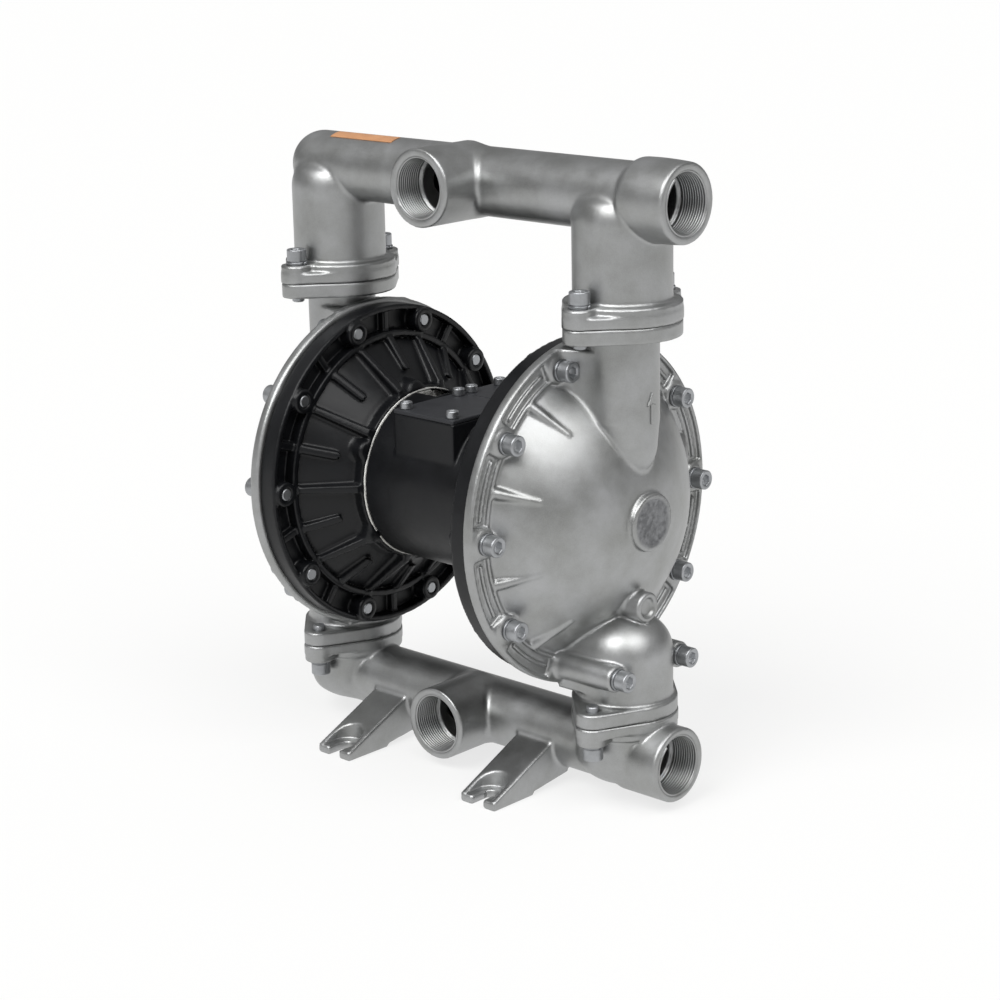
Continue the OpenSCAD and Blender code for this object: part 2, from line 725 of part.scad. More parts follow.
module outer_plate(side) {
    x0 = joint_x + half_t;
    hub_top = x0 + outer_hub_h;
    color("silver") on_side(side) translate([0, 0, shaft_z])
        turned([
            [0, x0 + outer_hub_h - 4], [stud_r + fit_gap, x0 + outer_hub_h - 4],
            [stud_r + fit_gap, x0], [plate_r, x0], [plate_r, x0 + outer_plate_t - 2],
            [plate_r - 2, x0 + outer_plate_t], [outer_hub_r, hub_top - 3],
            [outer_hub_r - 3, hub_top], [0, hub_top]
        ]);
}

module pump_shaft() {
    tip_x = joint_x + half_t + outer_hub_h - 4.5;
    color("gainsboro") translate([0, 0, shaft_z]) union() {
        along_x(-inner_face_x, inner_face_x, shaft_r);
        along_x(-tip_x, tip_x, stud_r);
    }
}

module shaft_bush(side) {
    color("peru") on_side(side) translate([0, 0, shaft_z]) ring_x(
        block_half - seal_w - bush_l, block_half - seal_w, shaft_r + run_gap, bush_out_r - fit_gap);
}

module shaft_seal(side) {
    color("#202020") on_side(side) translate([0, 0, shaft_z]) ring_x(
        block_half - seal_w, block_half, shaft_r + run_gap, bush_out_r - fit_gap);
}

module valve_sleeve() {
    port_w = 4;
    color("goldenrod") translate([0, 0, shaft_z]) at_spool() difference() {
        ring_x(-sleeve_half, sleeve_half, spool_r + run_gap, sleeve_out_r - fit_gap);
        for (x = [-16, -8, 0, 8, 16]) translate([x, 0, 0])
            along_z(0, sleeve_out_r + 1, port_w / 2);
    }
}

// Spool with three lands and grooves between them
module valve_spool() {
    waist_r = spool_r - 3.5;
    waist_l = 8;
    color("silver") translate([0, 0, shaft_z]) at_spool() difference() {
        along_x(-spool_l / 2, spool_l / 2, spool_r);
        for (m = sides) ring_x(m * 10 - waist_l / 2, m * 10 + waist_l / 2, waist_r, spool_r + 1);
        for (x = ring_places()) ring_x(x - 1.1, x + 1.1, spool_r - 2, spool_r + 1);
    }
}

// Places of the four sealing rings on the spool
function ring_places() = [-spool_l / 2 + 3, -3, 3, spool_l / 2 - 3];

module spool_rings() {
    color("#202020") translate([0, 0, shaft_z]) at_spool()
        for (x = ring_places()) ring_x(x - 1, x + 1, spool_r - 2 + fit_gap, spool_r + run_gap / 2);
}

module sleeve_plug(side) {
    color("silver") on_side(side) translate([0, 0, shaft_z]) at_spool()
        along_x(sleeve_half, sleeve_half + plug_t, sleeve_out_r - fit_gap);
}

module pilot_rod() {
    color("gainsboro") translate([0, 0, shaft_z]) at_pilot() along_x(-pilot_half, pilot_half, pilot_r);
}

module pilot_bush(side) {
    color("peru") on_side(side) translate([0, 0, shaft_z]) at_pilot() ring_x(
        block_half - pilot_bush_l, block_half, pilot_r + run_gap, pilot_bush_out_r - fit_gap);
}

// Manifold: tube, two legs with rounded ends and oval flanges, in its own upright position.
// up is 1 where the legs hang down from the tube, and -1 where they stand on it.
module manifold_outside(up, axis_z, joint_z, end_z, collar_r, port_x, port_y) {
    translate([0, 0, axis_z]) {
        intersection() {
            along_x(-leg_x - leg_r, leg_x, tube_r);
            translate([-tube_end_x, 0, 0]) union() {
                rotate([0, 90, 9]) sphere(1.5 * tube_r, $fn = 96);
                along_x(0, 3 * leg_x, 2 * tube_r);
            }
        }
        along_x(leg_x, port_x, collar_r);
        along_y(-port_y, 0, collar_r);
    }
    for (m = sides) translate([m * leg_x, 0, 0]) {
        intersection() {
            along_z(min(joint_z, end_z + up * end_r), max(joint_z, end_z + up * end_r), leg_r);
            translate([0, 0, end_z]) union() {
                rotate([9, 0, 0]) sphere(end_r, $fn = 96);
                along_z(min(0, -up * 3 * leg_r), max(0, -up * 3 * leg_r), 2 * leg_r);
            }
        }
        rotate([0, 0, up > 0 ? 0 : low_flange_turn])
            oval_flange(up > 0 ? joint_z : joint_z - flange_t, flange_t,
                up > 0 ? flange_r : low_flange_r);
    }
}

module manifold_waterways(axis_z, port_x, port_y) {
    translate([0, 0, axis_z]) {
        along_x(-leg_x, port_x - 5, bore_r);
        along_x(port_x - port_thread_l, port_x + 1, port_r);
        along_y(-port_y + 5, 0, bore_r);
        along_y(-port_y - 1, -port_y + port_thread_l, port_r);
    }
}

module discharge_manifold() {
    color("silver") difference() {
        manifold_outside(1, top_axis_z, top_joint_z, elbow_top_z, top_collar_r, top_port_x, top_port_y);
        manifold_waterways(top_axis_z, top_port_x, top_port_y);
        for (m = sides) translate([m * leg_x, 0, 0]) {
            ball_space(top_joint_z, top_core_z);
            ring_groove(top_joint_z);
            flange_holes(top_joint_z - 1, flange_t + 2, bolt_r + bolt_gap);
        }
    }
}

// Side view of a foot, as [y, z] points from the tip to the tube
module foot_outline() {
    polygon([
        [-foot_reach, 0], [-pad_y, 0], [-pad_y + 2, pad_step], [-8, pad_step + 5],
        [0, bottom_axis_z], [-tube_r * 0.6, foot_top], [-foot_reach, foot_t]
    ]);
}

// A wedge-shaped foot with an open slot and a round spot face
module foot(front, side) {
    mirror([0, front > 0 ? 0 : 1, 0]) translate([side * foot_x, 0, 0]) difference() {
        translate([-foot_w / 2, 0, 0]) rotate([90, 0, 90]) linear_extrude(foot_w) foot_outline();
        translate([0, -foot_bolt_y, 0]) along_z(foot_t, foot_top + 1, spot_r);
        translate([-spot_r, -foot_reach - 1, foot_t])
            cube([2 * spot_r, foot_reach - foot_bolt_y + 1, foot_top]);
        translate([0, -foot_bolt_y, 0]) along_z(-1, foot_top, slot_w / 2);
        translate([-slot_w / 2, -foot_reach - 1, -1]) cube([slot_w, foot_reach - foot_bolt_y + 1, foot_top]);
    }
}

module suction_manifold() {
    color("silver") difference() {
        union() {
            manifold_outside(-1, bottom_axis_z, bottom_joint_z, elbow_bottom_z,
                bottom_collar_r, bottom_port_x, bottom_port_y);
            for (front = sides) for (side = sides) foot(front, side);
        }
        manifold_waterways(bottom_axis_z, bottom_port_x, bottom_port_y);
        for (m = sides) translate([m * leg_x, 0, 0]) {
            along_z(bottom_core_z, bottom_joint_z + 1, ball_chamber_r - 3);
            translate([0, 0, bottom_core_z]) sphere(ball_chamber_r - 3);
            along_z(bottom_joint_z - seat_t, bottom_joint_z + 1, seat_r + fit_gap);
            rotate([0, 0, low_flange_turn])
                flange_holes(bottom_joint_z - flange_t - 1, flange_t + 2, bolt_r + bolt_gap);
        }
    }
}

// A ball valve, with its seat's top at z0
module ball(side, z0) {
    color("ivory") translate([side * leg_x, 0, z0 + ball_rise]) sphere(ball_r);
}

module seat(side, z0) {
    color("gray") translate([side * leg_x, 0, 0]) difference() {
        along_z(z0 - seat_t, z0, seat_r);
        along_z(z0 - seat_t - 1, z0 + 1, seat_hole_r);
        translate([0, 0, z0 + ball_rise]) sphere(ball_r + fit_gap);
    }
}

module joint_ring(side, z0) {
    color("white") translate([side * leg_x, 0, z0 + oring_t / 2])
        rotate_extrude() translate([groove_r, 0]) circle(oring_t / 2);
}

// Turns a screw drawn along Z so that its head points along +X
module head_out() {
    rotate([0, 90, 0]) children();
}

module cover_bolts(side) {
    shank = boss_x + washer_t - housing_boss_x;
    long_shank = long_boss_x + washer_t - housing_boss_x;
    color("lightgray") on_side(side) translate([0, 0, shaft_z]) {
        at_cover_bolts([0, 1, 2, 3, 6, 7, 8, 9]) translate([boss_x + washer_t, 0, 0]) head_out()
            socket_bolt(shank);
        at_cover_bolts([4, 5]) translate([long_boss_x + washer_t, 0, 0]) head_out()
            socket_bolt(long_shank);
    }
}

// An M10 socket head bolt with its head's underside at 0 and its shank below
module socket_bolt(l) {
    difference() {
        union() {
            along_z(-l, 0.5, bolt_r);
            along_z(0, head_h, head_r);
        }
        translate([0, 0, head_h - socket_d]) cylinder(h = head_h, r = socket_r, $fn = 6);
    }
}

module cover_washers(side) {
    color("gray") on_side(side) translate([0, 0, shaft_z]) {
        at_cover_bolts([0, 1, 2, 3, 6, 7, 8, 9])
            ring_x(boss_x, boss_x + washer_t, bolt_r + 0.3, washer_r);
        at_cover_bolts([4, 5])
            ring_x(long_boss_x, long_boss_x + washer_t, bolt_r + 0.3, washer_r);
    }
}

module housing_screws(side) {
    color("dimgray") on_side(side) translate([0, 0, shaft_z]) at_housing_screws()
        translate([floor_x, 0, 0]) head_out()
            socket_screw(housing_screw_r, housing_screw_l, housing_head_r, housing_head_h, socket_small_r);
}

// The four flange bolts and washers of one manifold
module at_flange_bolts(turn) {
    for (m = sides) for (n = sides) translate([m * leg_x, 0, 0]) rotate([0, 0, turn])
        translate([0, n * flange_bolt_y, 0]) children();
}

module flange_bolt_set(up) {
    l = flange_t + washer_t + neck_flange_t + bolt_tail;
    head_z = flange_t + washer_t;
    joint = up > 0 ? top_joint_z : bottom_joint_z;
    turn = up > 0 ? 0 : low_flange_turn;
    color("lightgray") translate([0, 0, joint]) mirror([0, 0, up > 0 ? 0 : 1]) at_flange_bolts(turn)
        translate([0, 0, head_z]) socket_bolt(l);
}

module flange_washer_set(up) {
    joint = up > 0 ? top_joint_z : bottom_joint_z;
    turn = up > 0 ? 0 : low_flange_turn;
    color("gray") translate([0, 0, joint]) mirror([0, 0, up > 0 ? 0 : 1]) at_flange_bolts(turn)
        difference() {
            along_z(flange_t, flange_t + washer_t, washer_r);
            along_z(flange_t - 1, flange_t + washer_t + 1, bolt_r + 0.3);
        }
}

// A bare label that follows the top of the discharge tube
module blank_label() {
    color("#b5825c") translate([-label_x - label_l / 2, 0, top_axis_z]) rotate([0, 90, 0])
        rotate([0, 0, 180 + label_turn - label_deg / 2]) rotate_extrude(angle = label_deg)
            translate([tube_r + 0.1, 0]) square([label_t, label_l]);
}

discharge_manifold();
suction_manifold();
fluid_cover(1);  // fluid_cover_right
fluid_cover(-1);  // fluid_cover_left
air_housing(1);  // air_housing_right
air_housing(-1);  // air_housing_left
centre_block();
block_gasket(1);  // block_gasket_right
block_gasket(-1);  // block_gasket_left
valve_plate();
pilot_plate();
plate_screws();
diaphragm(1);  // diaphragm_right
diaphragm(-1);  // diaphragm_left
inner_plate(1);  // inner_plate_right
inner_plate(-1);  // inner_plate_left
outer_plate(1);  // outer_plate_right
outer_plate(-1);  // outer_plate_left
pump_shaft();
shaft_bush(1);  // shaft_bush_right
shaft_bush(-1);  // shaft_bush_left
shaft_seal(1);  // shaft_seal_right
shaft_seal(-1);  // shaft_seal_left
valve_sleeve();
valve_spool();
spool_rings();
sleeve_plug(1);  // sleeve_plug_right
sleeve_plug(-1);  // sleeve_plug_left
pilot_rod();
pilot_bush(1);  // pilot_bush_right
pilot_bush(-1);  // pilot_bush_left
ball(1, top_joint_z);  // discharge_ball_right
ball(-1, top_joint_z);  // discharge_ball_left
ball(1, bottom_joint_z);  // suction_ball_right
ball(-1, bottom_joint_z);  // suction_ball_left
seat(1, top_joint_z);  // discharge_seat_right
seat(-1, top_joint_z);  // discharge_seat_left
seat(1, bottom_joint_z);  // suction_seat_right
seat(-1, bottom_joint_z);  // suction_seat_left
joint_ring(1, top_joint_z);  // joint_ring_top_right
joint_ring(-1, top_joint_z);  // joint_ring_top_left
joint_ring(1, bottom_joint_z);  // joint_ring_bottom_right
joint_ring(-1, bottom_joint_z);  // joint_ring_bottom_left
cover_bolts(1);  // cover_bolts_right
cover_bolts(-1);  // cover_bolts_left
cover_washers(1);  // cover_washers_right
cover_washers(-1);  // cover_washers_left
housing_screws(1);  // housing_screws_right
housing_screws(-1);  // housing_screws_left
flange_bolt_set(1);  // discharge_bolts
flange_bolt_set(-1);  // suction_bolts
flange_washer_set(1);  // discharge_washers
flange_washer_set(-1);  // suction_washers
blank_label();
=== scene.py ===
import json
import math

import bmesh
import bpy
import numpy as np
from mathutils import Matrix, Vector


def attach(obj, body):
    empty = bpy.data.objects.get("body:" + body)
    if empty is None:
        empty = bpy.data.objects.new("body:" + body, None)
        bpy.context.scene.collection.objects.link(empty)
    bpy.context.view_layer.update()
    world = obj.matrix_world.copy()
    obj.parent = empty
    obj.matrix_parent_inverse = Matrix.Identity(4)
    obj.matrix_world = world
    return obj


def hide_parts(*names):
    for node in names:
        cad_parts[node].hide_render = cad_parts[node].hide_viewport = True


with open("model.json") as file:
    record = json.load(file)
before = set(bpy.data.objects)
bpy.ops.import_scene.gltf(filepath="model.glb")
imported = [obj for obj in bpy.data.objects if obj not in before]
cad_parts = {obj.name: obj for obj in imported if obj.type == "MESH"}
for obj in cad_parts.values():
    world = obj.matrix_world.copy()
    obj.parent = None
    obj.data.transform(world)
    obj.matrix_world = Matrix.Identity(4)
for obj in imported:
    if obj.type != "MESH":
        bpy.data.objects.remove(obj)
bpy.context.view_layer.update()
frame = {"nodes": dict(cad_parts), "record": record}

# The looks of an air operated double diaphragm pump in cast stainless steel with black air housings.
# Shapes are written in millimetres in the CAD frame: X runs along the pump shaft, Z is up from the floor.
MM = 0.001
SHAFT_Z = 229.0
LEG_X, LEG_R = 153.5, 38.0
JOINT_X = 113.5
TOP_Z, TOP_JOINT_Z, TOP_END_Z, TOP_CORE_Z = 475.5, 384.0, 437.1, 450.5
LOW_Z, LOW_JOINT_Z, LOW_END_Z, LOW_CORE_Z = 38.0, 74.0, 61.4, 49.0
END_R = 49.4
# Port faces: how far right of the pump's middle, and how far in front of the tube's axis
TOP_END_FACE, TOP_FRONT_FACE = 215.5, 60.5
LOW_END_FACE, LOW_FRONT_FACE = 208.0, 57.0
# Radius of a manifold's tube, and where the ball shape of its left end begins
TUBE_R, TUBE_BALL_X = 27.0, 167.5
BOLT_CIRCLE, BOLT_STEP = 123.0, 36.0
# Boss faces under the washers of the short and the long cover bolts, and the back of a housing's boss
BOSS_X, LONG_X, HOUSING_BOSS_X = 124.5, 178.5, 94.5
FLANGE_BOLT_Y, FLANGE_R, LOW_FLANGE_R, LOW_TURN = 49.0, 45.5, 41.5, math.radians(10)
PAD_H, COVER_FLANGE_T = 15.0, 12.0
WASHER_T = 2.6
BORE_R, PORT_R, PORT_DEPTH = 21.0, 23.9, 26.0
CHAMBER_R, SEAT_R, SEAT_T = 31.0, 35.05, 8.0
# Underside and thickness of the valve box's plates, and half the box's length and width
PLATE_Z, PLATE_T, BOX_HALF_X, BOX_HALF_Y = 294.0, 3.5, 33.0, 62.0
# The pilot rod's bore and the valve's bore, counted from the shaft
PILOT_Y, PILOT_H, VALVE_Y, VALVE_H = 20.0, 34.0, -18.0, 43.0
# A distance too large to matter, and the cosine of 45 degrees
FAR = 30.0
AT_45 = 0.7071
QUARTER = math.pi / 2


# ---- Solids as distance fields: negative inside, and lengths in millimetres ----

def joined(a, b, r):
    """Both solids, with a fillet of radius r where they meet."""
    return np.maximum(r, np.minimum(a, b)) - np.sqrt(np.maximum(r - a, 0) ** 2 + np.maximum(r - b, 0) ** 2)


def common(a, b, r):
    """What two solids share, with outer edges rounded to radius r."""
    return np.minimum(-r, np.maximum(a, b)) + np.sqrt(np.maximum(r + a, 0) ** 2 + np.maximum(r + b, 0) ** 2)


def cut(a, b, r):
    """The first solid without the second, with the cut's edges rounded."""
    return common(a, -b, r)


def between(h, low, high):
    """The slab between two planes."""
    return np.abs(h - (low + high) / 2) - (high - low) / 2


def rod(u, v, r):
    """An endless round bar, seen along its axis."""
    return np.sqrt(u * u + v * v) - r


def ball(u, v, w, r):
    """A ball about the origin."""
    return np.sqrt(u * u + v * v + w * w) - r


def box2(u, v, a, b, r=0.0):
    """A rectangle with half sides a and b and corner radius r."""
    p, q = np.abs(u) - a + r, np.abs(v) - b + r
    return np.sqrt(np.maximum(p, 0) ** 2 + np.maximum(q, 0) ** 2) + np.minimum(np.maximum(p, q), 0) - r


def outline(u, v, points):
    """Signed distance to a closed outline in a plane."""
    best = np.full(np.broadcast(u, v).shape, 1e9, dtype=np.float32)
    inside = np.zeros(best.shape, dtype=bool)
    for (ax, ay), (bx, by) in zip(points, points[1:] + points[:1]):
        ex, ey = bx - ax, by - ay
        t = np.clip(((u - ax) * ex + (v - ay) * ey) / (ex * ex + ey * ey), 0, 1)
        best = np.minimum(best, (u - ax - t * ex) ** 2 + (v - ay - t * ey) ** 2)
        if ay != by:
            inside ^= ((v >= ay) != (v >= by)) & (u < ax + (v - ay) * ex / ey)
    return np.where(inside, -1, 1) * np.sqrt(best)


def turned_to(y, z, step, offset=0.0):
    """Folds the plane round the shaft into one sector.
    Gives the distances along and beside the sector's middle line, and the radius."""
    angle = np.degrees(np.arctan2(y, z)) - offset
    folded = np.radians(angle - step * np.round(angle / step))
    r = np.sqrt(y * y + z * z)
    return r * np.cos(folded), r * np.sin(folded), r


def surface(field, low, high, step):
    """Points and quads of a distance field's surface, each point moved onto the surface itself."""
    axes = [np.arange(a - 1.5 * step, b + 2.5 * step, step) for a, b in zip(low, high)]
    grid = np.meshgrid(*[a.astype(np.float32) for a in axes], indexing="ij", sparse=True)
    f = np.asarray(field(*grid), dtype=np.float32)
    inside = f < 0
    size = np.array(f.shape)
    # Each grid edge that the surface crosses gives a quad between the four cells round it
    cells, spots, flips = [], [], []
    for axis in range(3):
        near = [slice(None)] * 3
        far = [slice(None)] * 3
        near[axis], far[axis] = slice(None, -1), slice(1, None)
        at = np.argwhere(inside[tuple(near)] != inside[tuple(far)])
        other = at.copy()
        other[:, axis] += 1
        f0, f1 = f[tuple(at.T)].astype(float), f[tuple(other.T)].astype(float)
        spot = at.astype(float)
        spot[:, axis] += f0 / (f0 - f1)
        j, k = (axis + 1) % 3, (axis + 2) % 3
        ring = np.repeat(at[:, None, :], 4, axis=1)
        ring[:, 1, j] -= 1
        ring[:, 2, j] -= 1
        ring[:, 2, k] -= 1
        ring[:, 3, k] -= 1
        cells.append(ring)
        spots.append(spot)
        flips.append(f0 > 0)
    cells, spots, flips = np.concatenate(cells), np.concatenate(spots), np.concatenate(flips)
    # Each of those cells gets one point, the mean of its crossings
    flat = (cells[..., 0] * size[1] + cells[..., 1]) * size[2] + cells[..., 2]
    _, index = np.unique(flat.ravel(), return_inverse=True)
    index = index.reshape(flat.shape)
    count = np.bincount(index.ravel())
    points = np.stack([np.bincount(index.ravel(), weights=np.repeat(spots[:, a], 4)) / count
                       for a in range(3)], axis=1)
    points = points * step + np.array([a[0] for a in axes])
    quads = np.where(flips[:, None], index[:, ::-1], index)
    # Then the points move along the field's slope to where it is zero
    small = 0.02 * step
    for _ in range(3):
        p = points.T
        here = np.asarray(field(*p), dtype=float)
        slope = np.stack([(field(*(p + small * e)) - field(*(p - small * e))) / (2 * small)
                          for e in np.eye(3)[:, :, None]], axis=1)
        move = -here[:, None] * slope / np.maximum((slope ** 2).sum(1), 0.25)[:, None]
        length = np.sqrt((move ** 2).sum(1))[:, None]
        points = points + move * np.minimum(1, 0.35 * step / np.maximum(length, 1e-9))
    return points, quads


# ---- Objects ----

def mesh_object(name, points, faces, smooth=True):
    """A plain mesh object at the origin, from points in millimetres."""
    mesh = bpy.data.meshes.new(name)
    points = np.asarray(points, dtype=np.float32) * MM
    faces = np.asarray(faces, dtype=np.int32)
    mesh.vertices.add(len(points))
    mesh.vertices.foreach_set("co", points.ravel())
    mesh.loops.add(faces.size)
    mesh.loops.foreach_set("vertex_index", faces.ravel())
    mesh.polygons.add(len(faces))
    mesh.polygons.foreach_set("loop_start", np.arange(0, faces.size, faces.shape[1], dtype=np.int32))
    mesh.polygons.foreach_set("use_smooth", np.full(len(faces), smooth))
    mesh.update(calc_edges=True)
    obj = bpy.data.objects.new(name, mesh)
    bpy.context.scene.collection.objects.link(obj)
    return obj


def casting(name, field, low, high, step, mirrored=None, half_turn=None):
    """A cast piece from a distance field. Where a second name is given, the same shape follows as its mirror
    image across the pump's middle, or turned half round about the vertical."""
    points, quads = surface(field, low, high, step * (1.0))
    pieces = [mesh_object(name, points, quads)]
    if mirrored:
        pieces.append(mesh_object(mirrored, points * np.array([-1, 1, 1]), quads[:, ::-1]))
    if half_turn:
        pieces.append(mesh_object(half_turn, points * np.array([-1, -1, 1]), quads))
    return pieces


def fused(name, objs):
    """Several plain objects as one."""
    with bpy.context.temp_override(active_object=objs[0], selected_editable_objects=objs):
        bpy.ops.object.join()
    objs[0].name = name
    return objs[0]


def finish_piece(obj, material, body, slot, *nodes):
    """Gives a piece its material and its body, and hides the CAD nodes that it stands for."""
    obj.data.materials.clear()
    obj.data.materials.append(material)
    if nodes:
        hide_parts(*nodes)
    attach(obj, body)


# ---- Materials ----

def linear(code):
    """An sRGB hex colour as linear red, green, blue and alpha."""
    parts = [int(code[i:i + 2], 16) / 255 for i in (1, 3, 5)]
    return tuple(c / 12.92 if c <= 0.04045 else ((c + 0.055) / 1.055) ** 2.4 for c in parts) + (1.0,)


def add(tree, kind, values=None, links=None, **settings):
    """Adds a node with its settings, the values of its inputs and the sockets linked to them."""
    node = tree.nodes.new(kind)
    for name, value in settings.items():
        setattr(node, name, value)
    for key, value in (values or {}).items():
        node.inputs[key].default_value = value
    for key, socket in (links or {}).items():
        tree.links.new(socket, node.inputs[key])
    return node


def patterned(name, dark, light, rough, metal, patch_mm, grain_mm, bump_mm, gloss_level=0.5, waves=(12.0, 0.25)):
    """A finish with soft patches of tone and gloss, a fine grain and a slight waviness.
    Patches and grain are sized in millimetres, bump_mm is the grain's depth, and waves are the length and the
    depth of the waviness."""
    material = bpy.data.materials.new(name)
    material.use_nodes = True
    tree = material.node_tree
    shader = tree.nodes["Principled BSDF"]
    shader.inputs["Metallic"].default_value = metal
    shader.inputs["Specular IOR Level"].default_value = gloss_level
    place = add(tree, "ShaderNodeTexCoord").outputs["Object"]
    patch = add(tree, "ShaderNodeTexNoise", {"Scale": 1 / (patch_mm * MM), "Detail": 4.0, "Roughness": 0.6},
                {"Vector": place})
    grain = add(tree, "ShaderNodeTexNoise", {"Scale": 1 / (grain_mm * MM), "Detail": 2.0, "Roughness": 0.6},
                {"Vector": place})
    wave = add(tree, "ShaderNodeTexNoise", {"Scale": 1 / (waves[0] * MM), "Detail": 1.0}, {"Vector": place})
    both = add(tree, "ShaderNodeMath", {1: 0.35}, {0: grain.outputs["Fac"], 2: patch.outputs["Fac"]},
               operation="MULTIPLY_ADD")
    tone = add(tree, "ShaderNodeValToRGB", links={"Fac": both.outputs[0]})
    tone.color_ramp.elements[0].position = 0.42
    tone.color_ramp.elements[1].position = 0.92
    tone.color_ramp.elements[0].color = linear(dark)
    tone.color_ramp.elements[1].color = linear(light)
    gloss = add(tree, "ShaderNodeMapRange", {"From Min": 0.45, "From Max": 0.9, "To Min": rough[0],
                                            "To Max": rough[1]}, {"Value": both.outputs[0]})
    swell = add(tree, "ShaderNodeBump", {"Strength": 1.0, "Distance": waves[1] * MM},
                {"Height": wave.outputs["Fac"]})
    bump = add(tree, "ShaderNodeBump", {"Strength": 1.0, "Distance": bump_mm * MM},
               {"Height": grain.outputs["Fac"], "Normal": swell.outputs["Normal"]})
    tree.links.new(tone.outputs["Color"], shader.inputs["Base Color"])
    tree.links.new(gloss.outputs["Result"], shader.inputs["Roughness"])
    tree.links.new(bump.outputs["Normal"], shader.inputs["Normal"])
    return material


# Cast stainless steel blasted with glass beads: a satin grey with soft patches and a grain of 0.8 mm
cast_steel = patterned("bead_blasted_cast_stainless",
                       "#959694", "#b3b4b5", (0.39, 0.49), 1.0, 34, 0.8, 0.06, waves=(16.0, 0.22))
# Die cast aluminium with a baked black coat: nearly black, half gloss, with an orange peel of 1.4 mm
black_coat = patterned("black_coated_aluminium", "#090a0c", "#101114", (0.32, 0.42), 0.0, 24, 1.4, 0.03, 0.3)
# The same coat on the milled plates, painted a shade greyer as a painted reflection of the key lamp on their
# upward faces
sheen_painted_plate_coat = patterned("black_coat_plate_painted_sheen", "#292a2d", "#313235", (0.45, 0.55), 0.0, 18, 0.9, 0.02, 0.3)
# Cold headed A2 stainless screws: brighter and smoother than the castings
bolt_steel = patterned("cold_headed_stainless", "#989a9c", "#b3b5b8", (0.38, 0.48), 1.0, 10, 0.6, 0.01)
# Spring washers of zinc plated steel, a little darker
washer_steel = patterned("spring_washer_steel", "#7f8183", "#9b9da0", (0.36, 0.46), 1.0, 8, 0.6, 0.01)
# Compressed white fibre gasket, dull and slightly uneven at its edge
gasket_fibre = patterned("white_fibre_gasket", "#dcdbd6", "#f2f1ed", (0.6, 0.75), 0.0, 6, 0.5, 0.02)
# Label film left bare: a warm tan with a soft sheen
label_film = patterned("bare_label_film", "#b07c55", "#c79368", (0.35, 0.45), 0.0, 20, 0.8, 0.005)
# Ground shaft steel: bright, with fine marks
ground_steel = patterned("ground_shaft_steel", "#b4b3b0", "#d2d1ce", (0.16, 0.24), 1.0, 14, 0.4, 0.004)
# Moulded PTFE of diaphragms, balls and rings: milky and waxy
ptfe = patterned("moulded_ptfe", "#e4dfd2", "#f3f0e8", (0.42, 0.55), 0.0, 18, 0.9, 0.01)
# Nitrile rubber seals: dull black
rubber = patterned("nitrile_rubber", "#141414", "#1f1f1f", (0.6, 0.75), 0.0, 8, 0.5, 0.01)
# Sintered bronze bushes: warm and dull
bronze = patterned("sintered_bronze", "#8f6a3f", "#a98153", (0.38, 0.5), 1.0, 6, 0.4, 0.01)
# The round disc in the middle of a cover is left as cast: darker, mottled and pitted, with pits about 4.5 mm apart
tree, shader = cast_steel.node_tree, cast_steel.node_tree.nodes["Principled BSDF"]
place = add(tree, "ShaderNodeTexCoord").outputs["Object"]
from_axis = add(tree, "ShaderNodeVectorMath", {1: (0, 0, SHAFT_Z * MM)}, {0: place}, operation="SUBTRACT")
flat = add(tree, "ShaderNodeVectorMath", {1: (0, 1, 1)}, {0: from_axis.outputs[0]}, operation="MULTIPLY")
radius = add(tree, "ShaderNodeVectorMath", links={0: flat.outputs[0]}, operation="LENGTH")
within = add(tree, "ShaderNodeMapRange", {"From Min": 21.2 * MM, "From Max": 17.5 * MM},
             {"Value": radius.outputs["Value"]})
across = add(tree, "ShaderNodeSeparateXYZ", links={0: place})
depth = add(tree, "ShaderNodeMath", links={0: across.outputs["X"]}, operation="ABSOLUTE")
outer = add(tree, "ShaderNodeMath", {1: 181 * MM}, {0: depth.outputs[0]}, operation="GREATER_THAN")
raw = add(tree, "ShaderNodeMath", links={0: within.outputs[0], 1: outer.outputs[0]}, operation="MULTIPLY")
tone_link = shader.inputs["Base Color"].links[0].from_socket
shade = add(tree, "ShaderNodeMix", data_type="RGBA")
tree.links.new(raw.outputs[0], shade.inputs[0])
tree.links.new(tone_link, shade.inputs[6])
pits = add(tree, "ShaderNodeTexNoise", {"Scale": 1 / (4.5 * MM), "Detail": 3.0}, {"Vector": place})
mottle = add(tree, "ShaderNodeValToRGB", links={"Fac": pits.outputs["Fac"]})
mottle.color_ramp.elements[0].position, mottle.color_ramp.elements[1].position = 0.36, 0.66
mottle.color_ramp.elements[0].color, mottle.color_ramp.elements[1].color = linear("#6d6e70"), linear("#8b8c8e")
tree.links.new(mottle.outputs["Color"], shade.inputs[7])
tree.links.new(shade.outputs[2], shader.inputs["Base Color"])
pit_depth = add(tree, "ShaderNodeMath", links={0: pits.outputs["Fac"], 1: raw.outputs[0]}, operation="MULTIPLY")
rough_cast = add(tree, "ShaderNodeBump", {"Strength": 1.0, "Distance": 0.9 * MM},
                 {"Height": pit_depth.outputs[0], "Normal": shader.inputs["Normal"].links[0].from_socket})
tree.links.new(rough_cast.outputs["Normal"], shader.inputs["Normal"])

slot_finish = {"cast_stainless": cast_steel, "black_housing": black_coat, "bright_steel": bolt_steel,
               "washer_steel": washer_steel, "ground_steel": ground_steel, "diaphragm_plastic": ptfe,
               "gasket_white": gasket_fibre, "seal_rubber": rubber, "bronze": bronze, "label_film": label_film}
for part in frame["record"]["subparts"]:
    node = frame["nodes"][part["node"]]
    node.data.materials.clear()
    node.data.materials.append(slot_finish[part["material_slot"]])


# ---- Manifolds ----

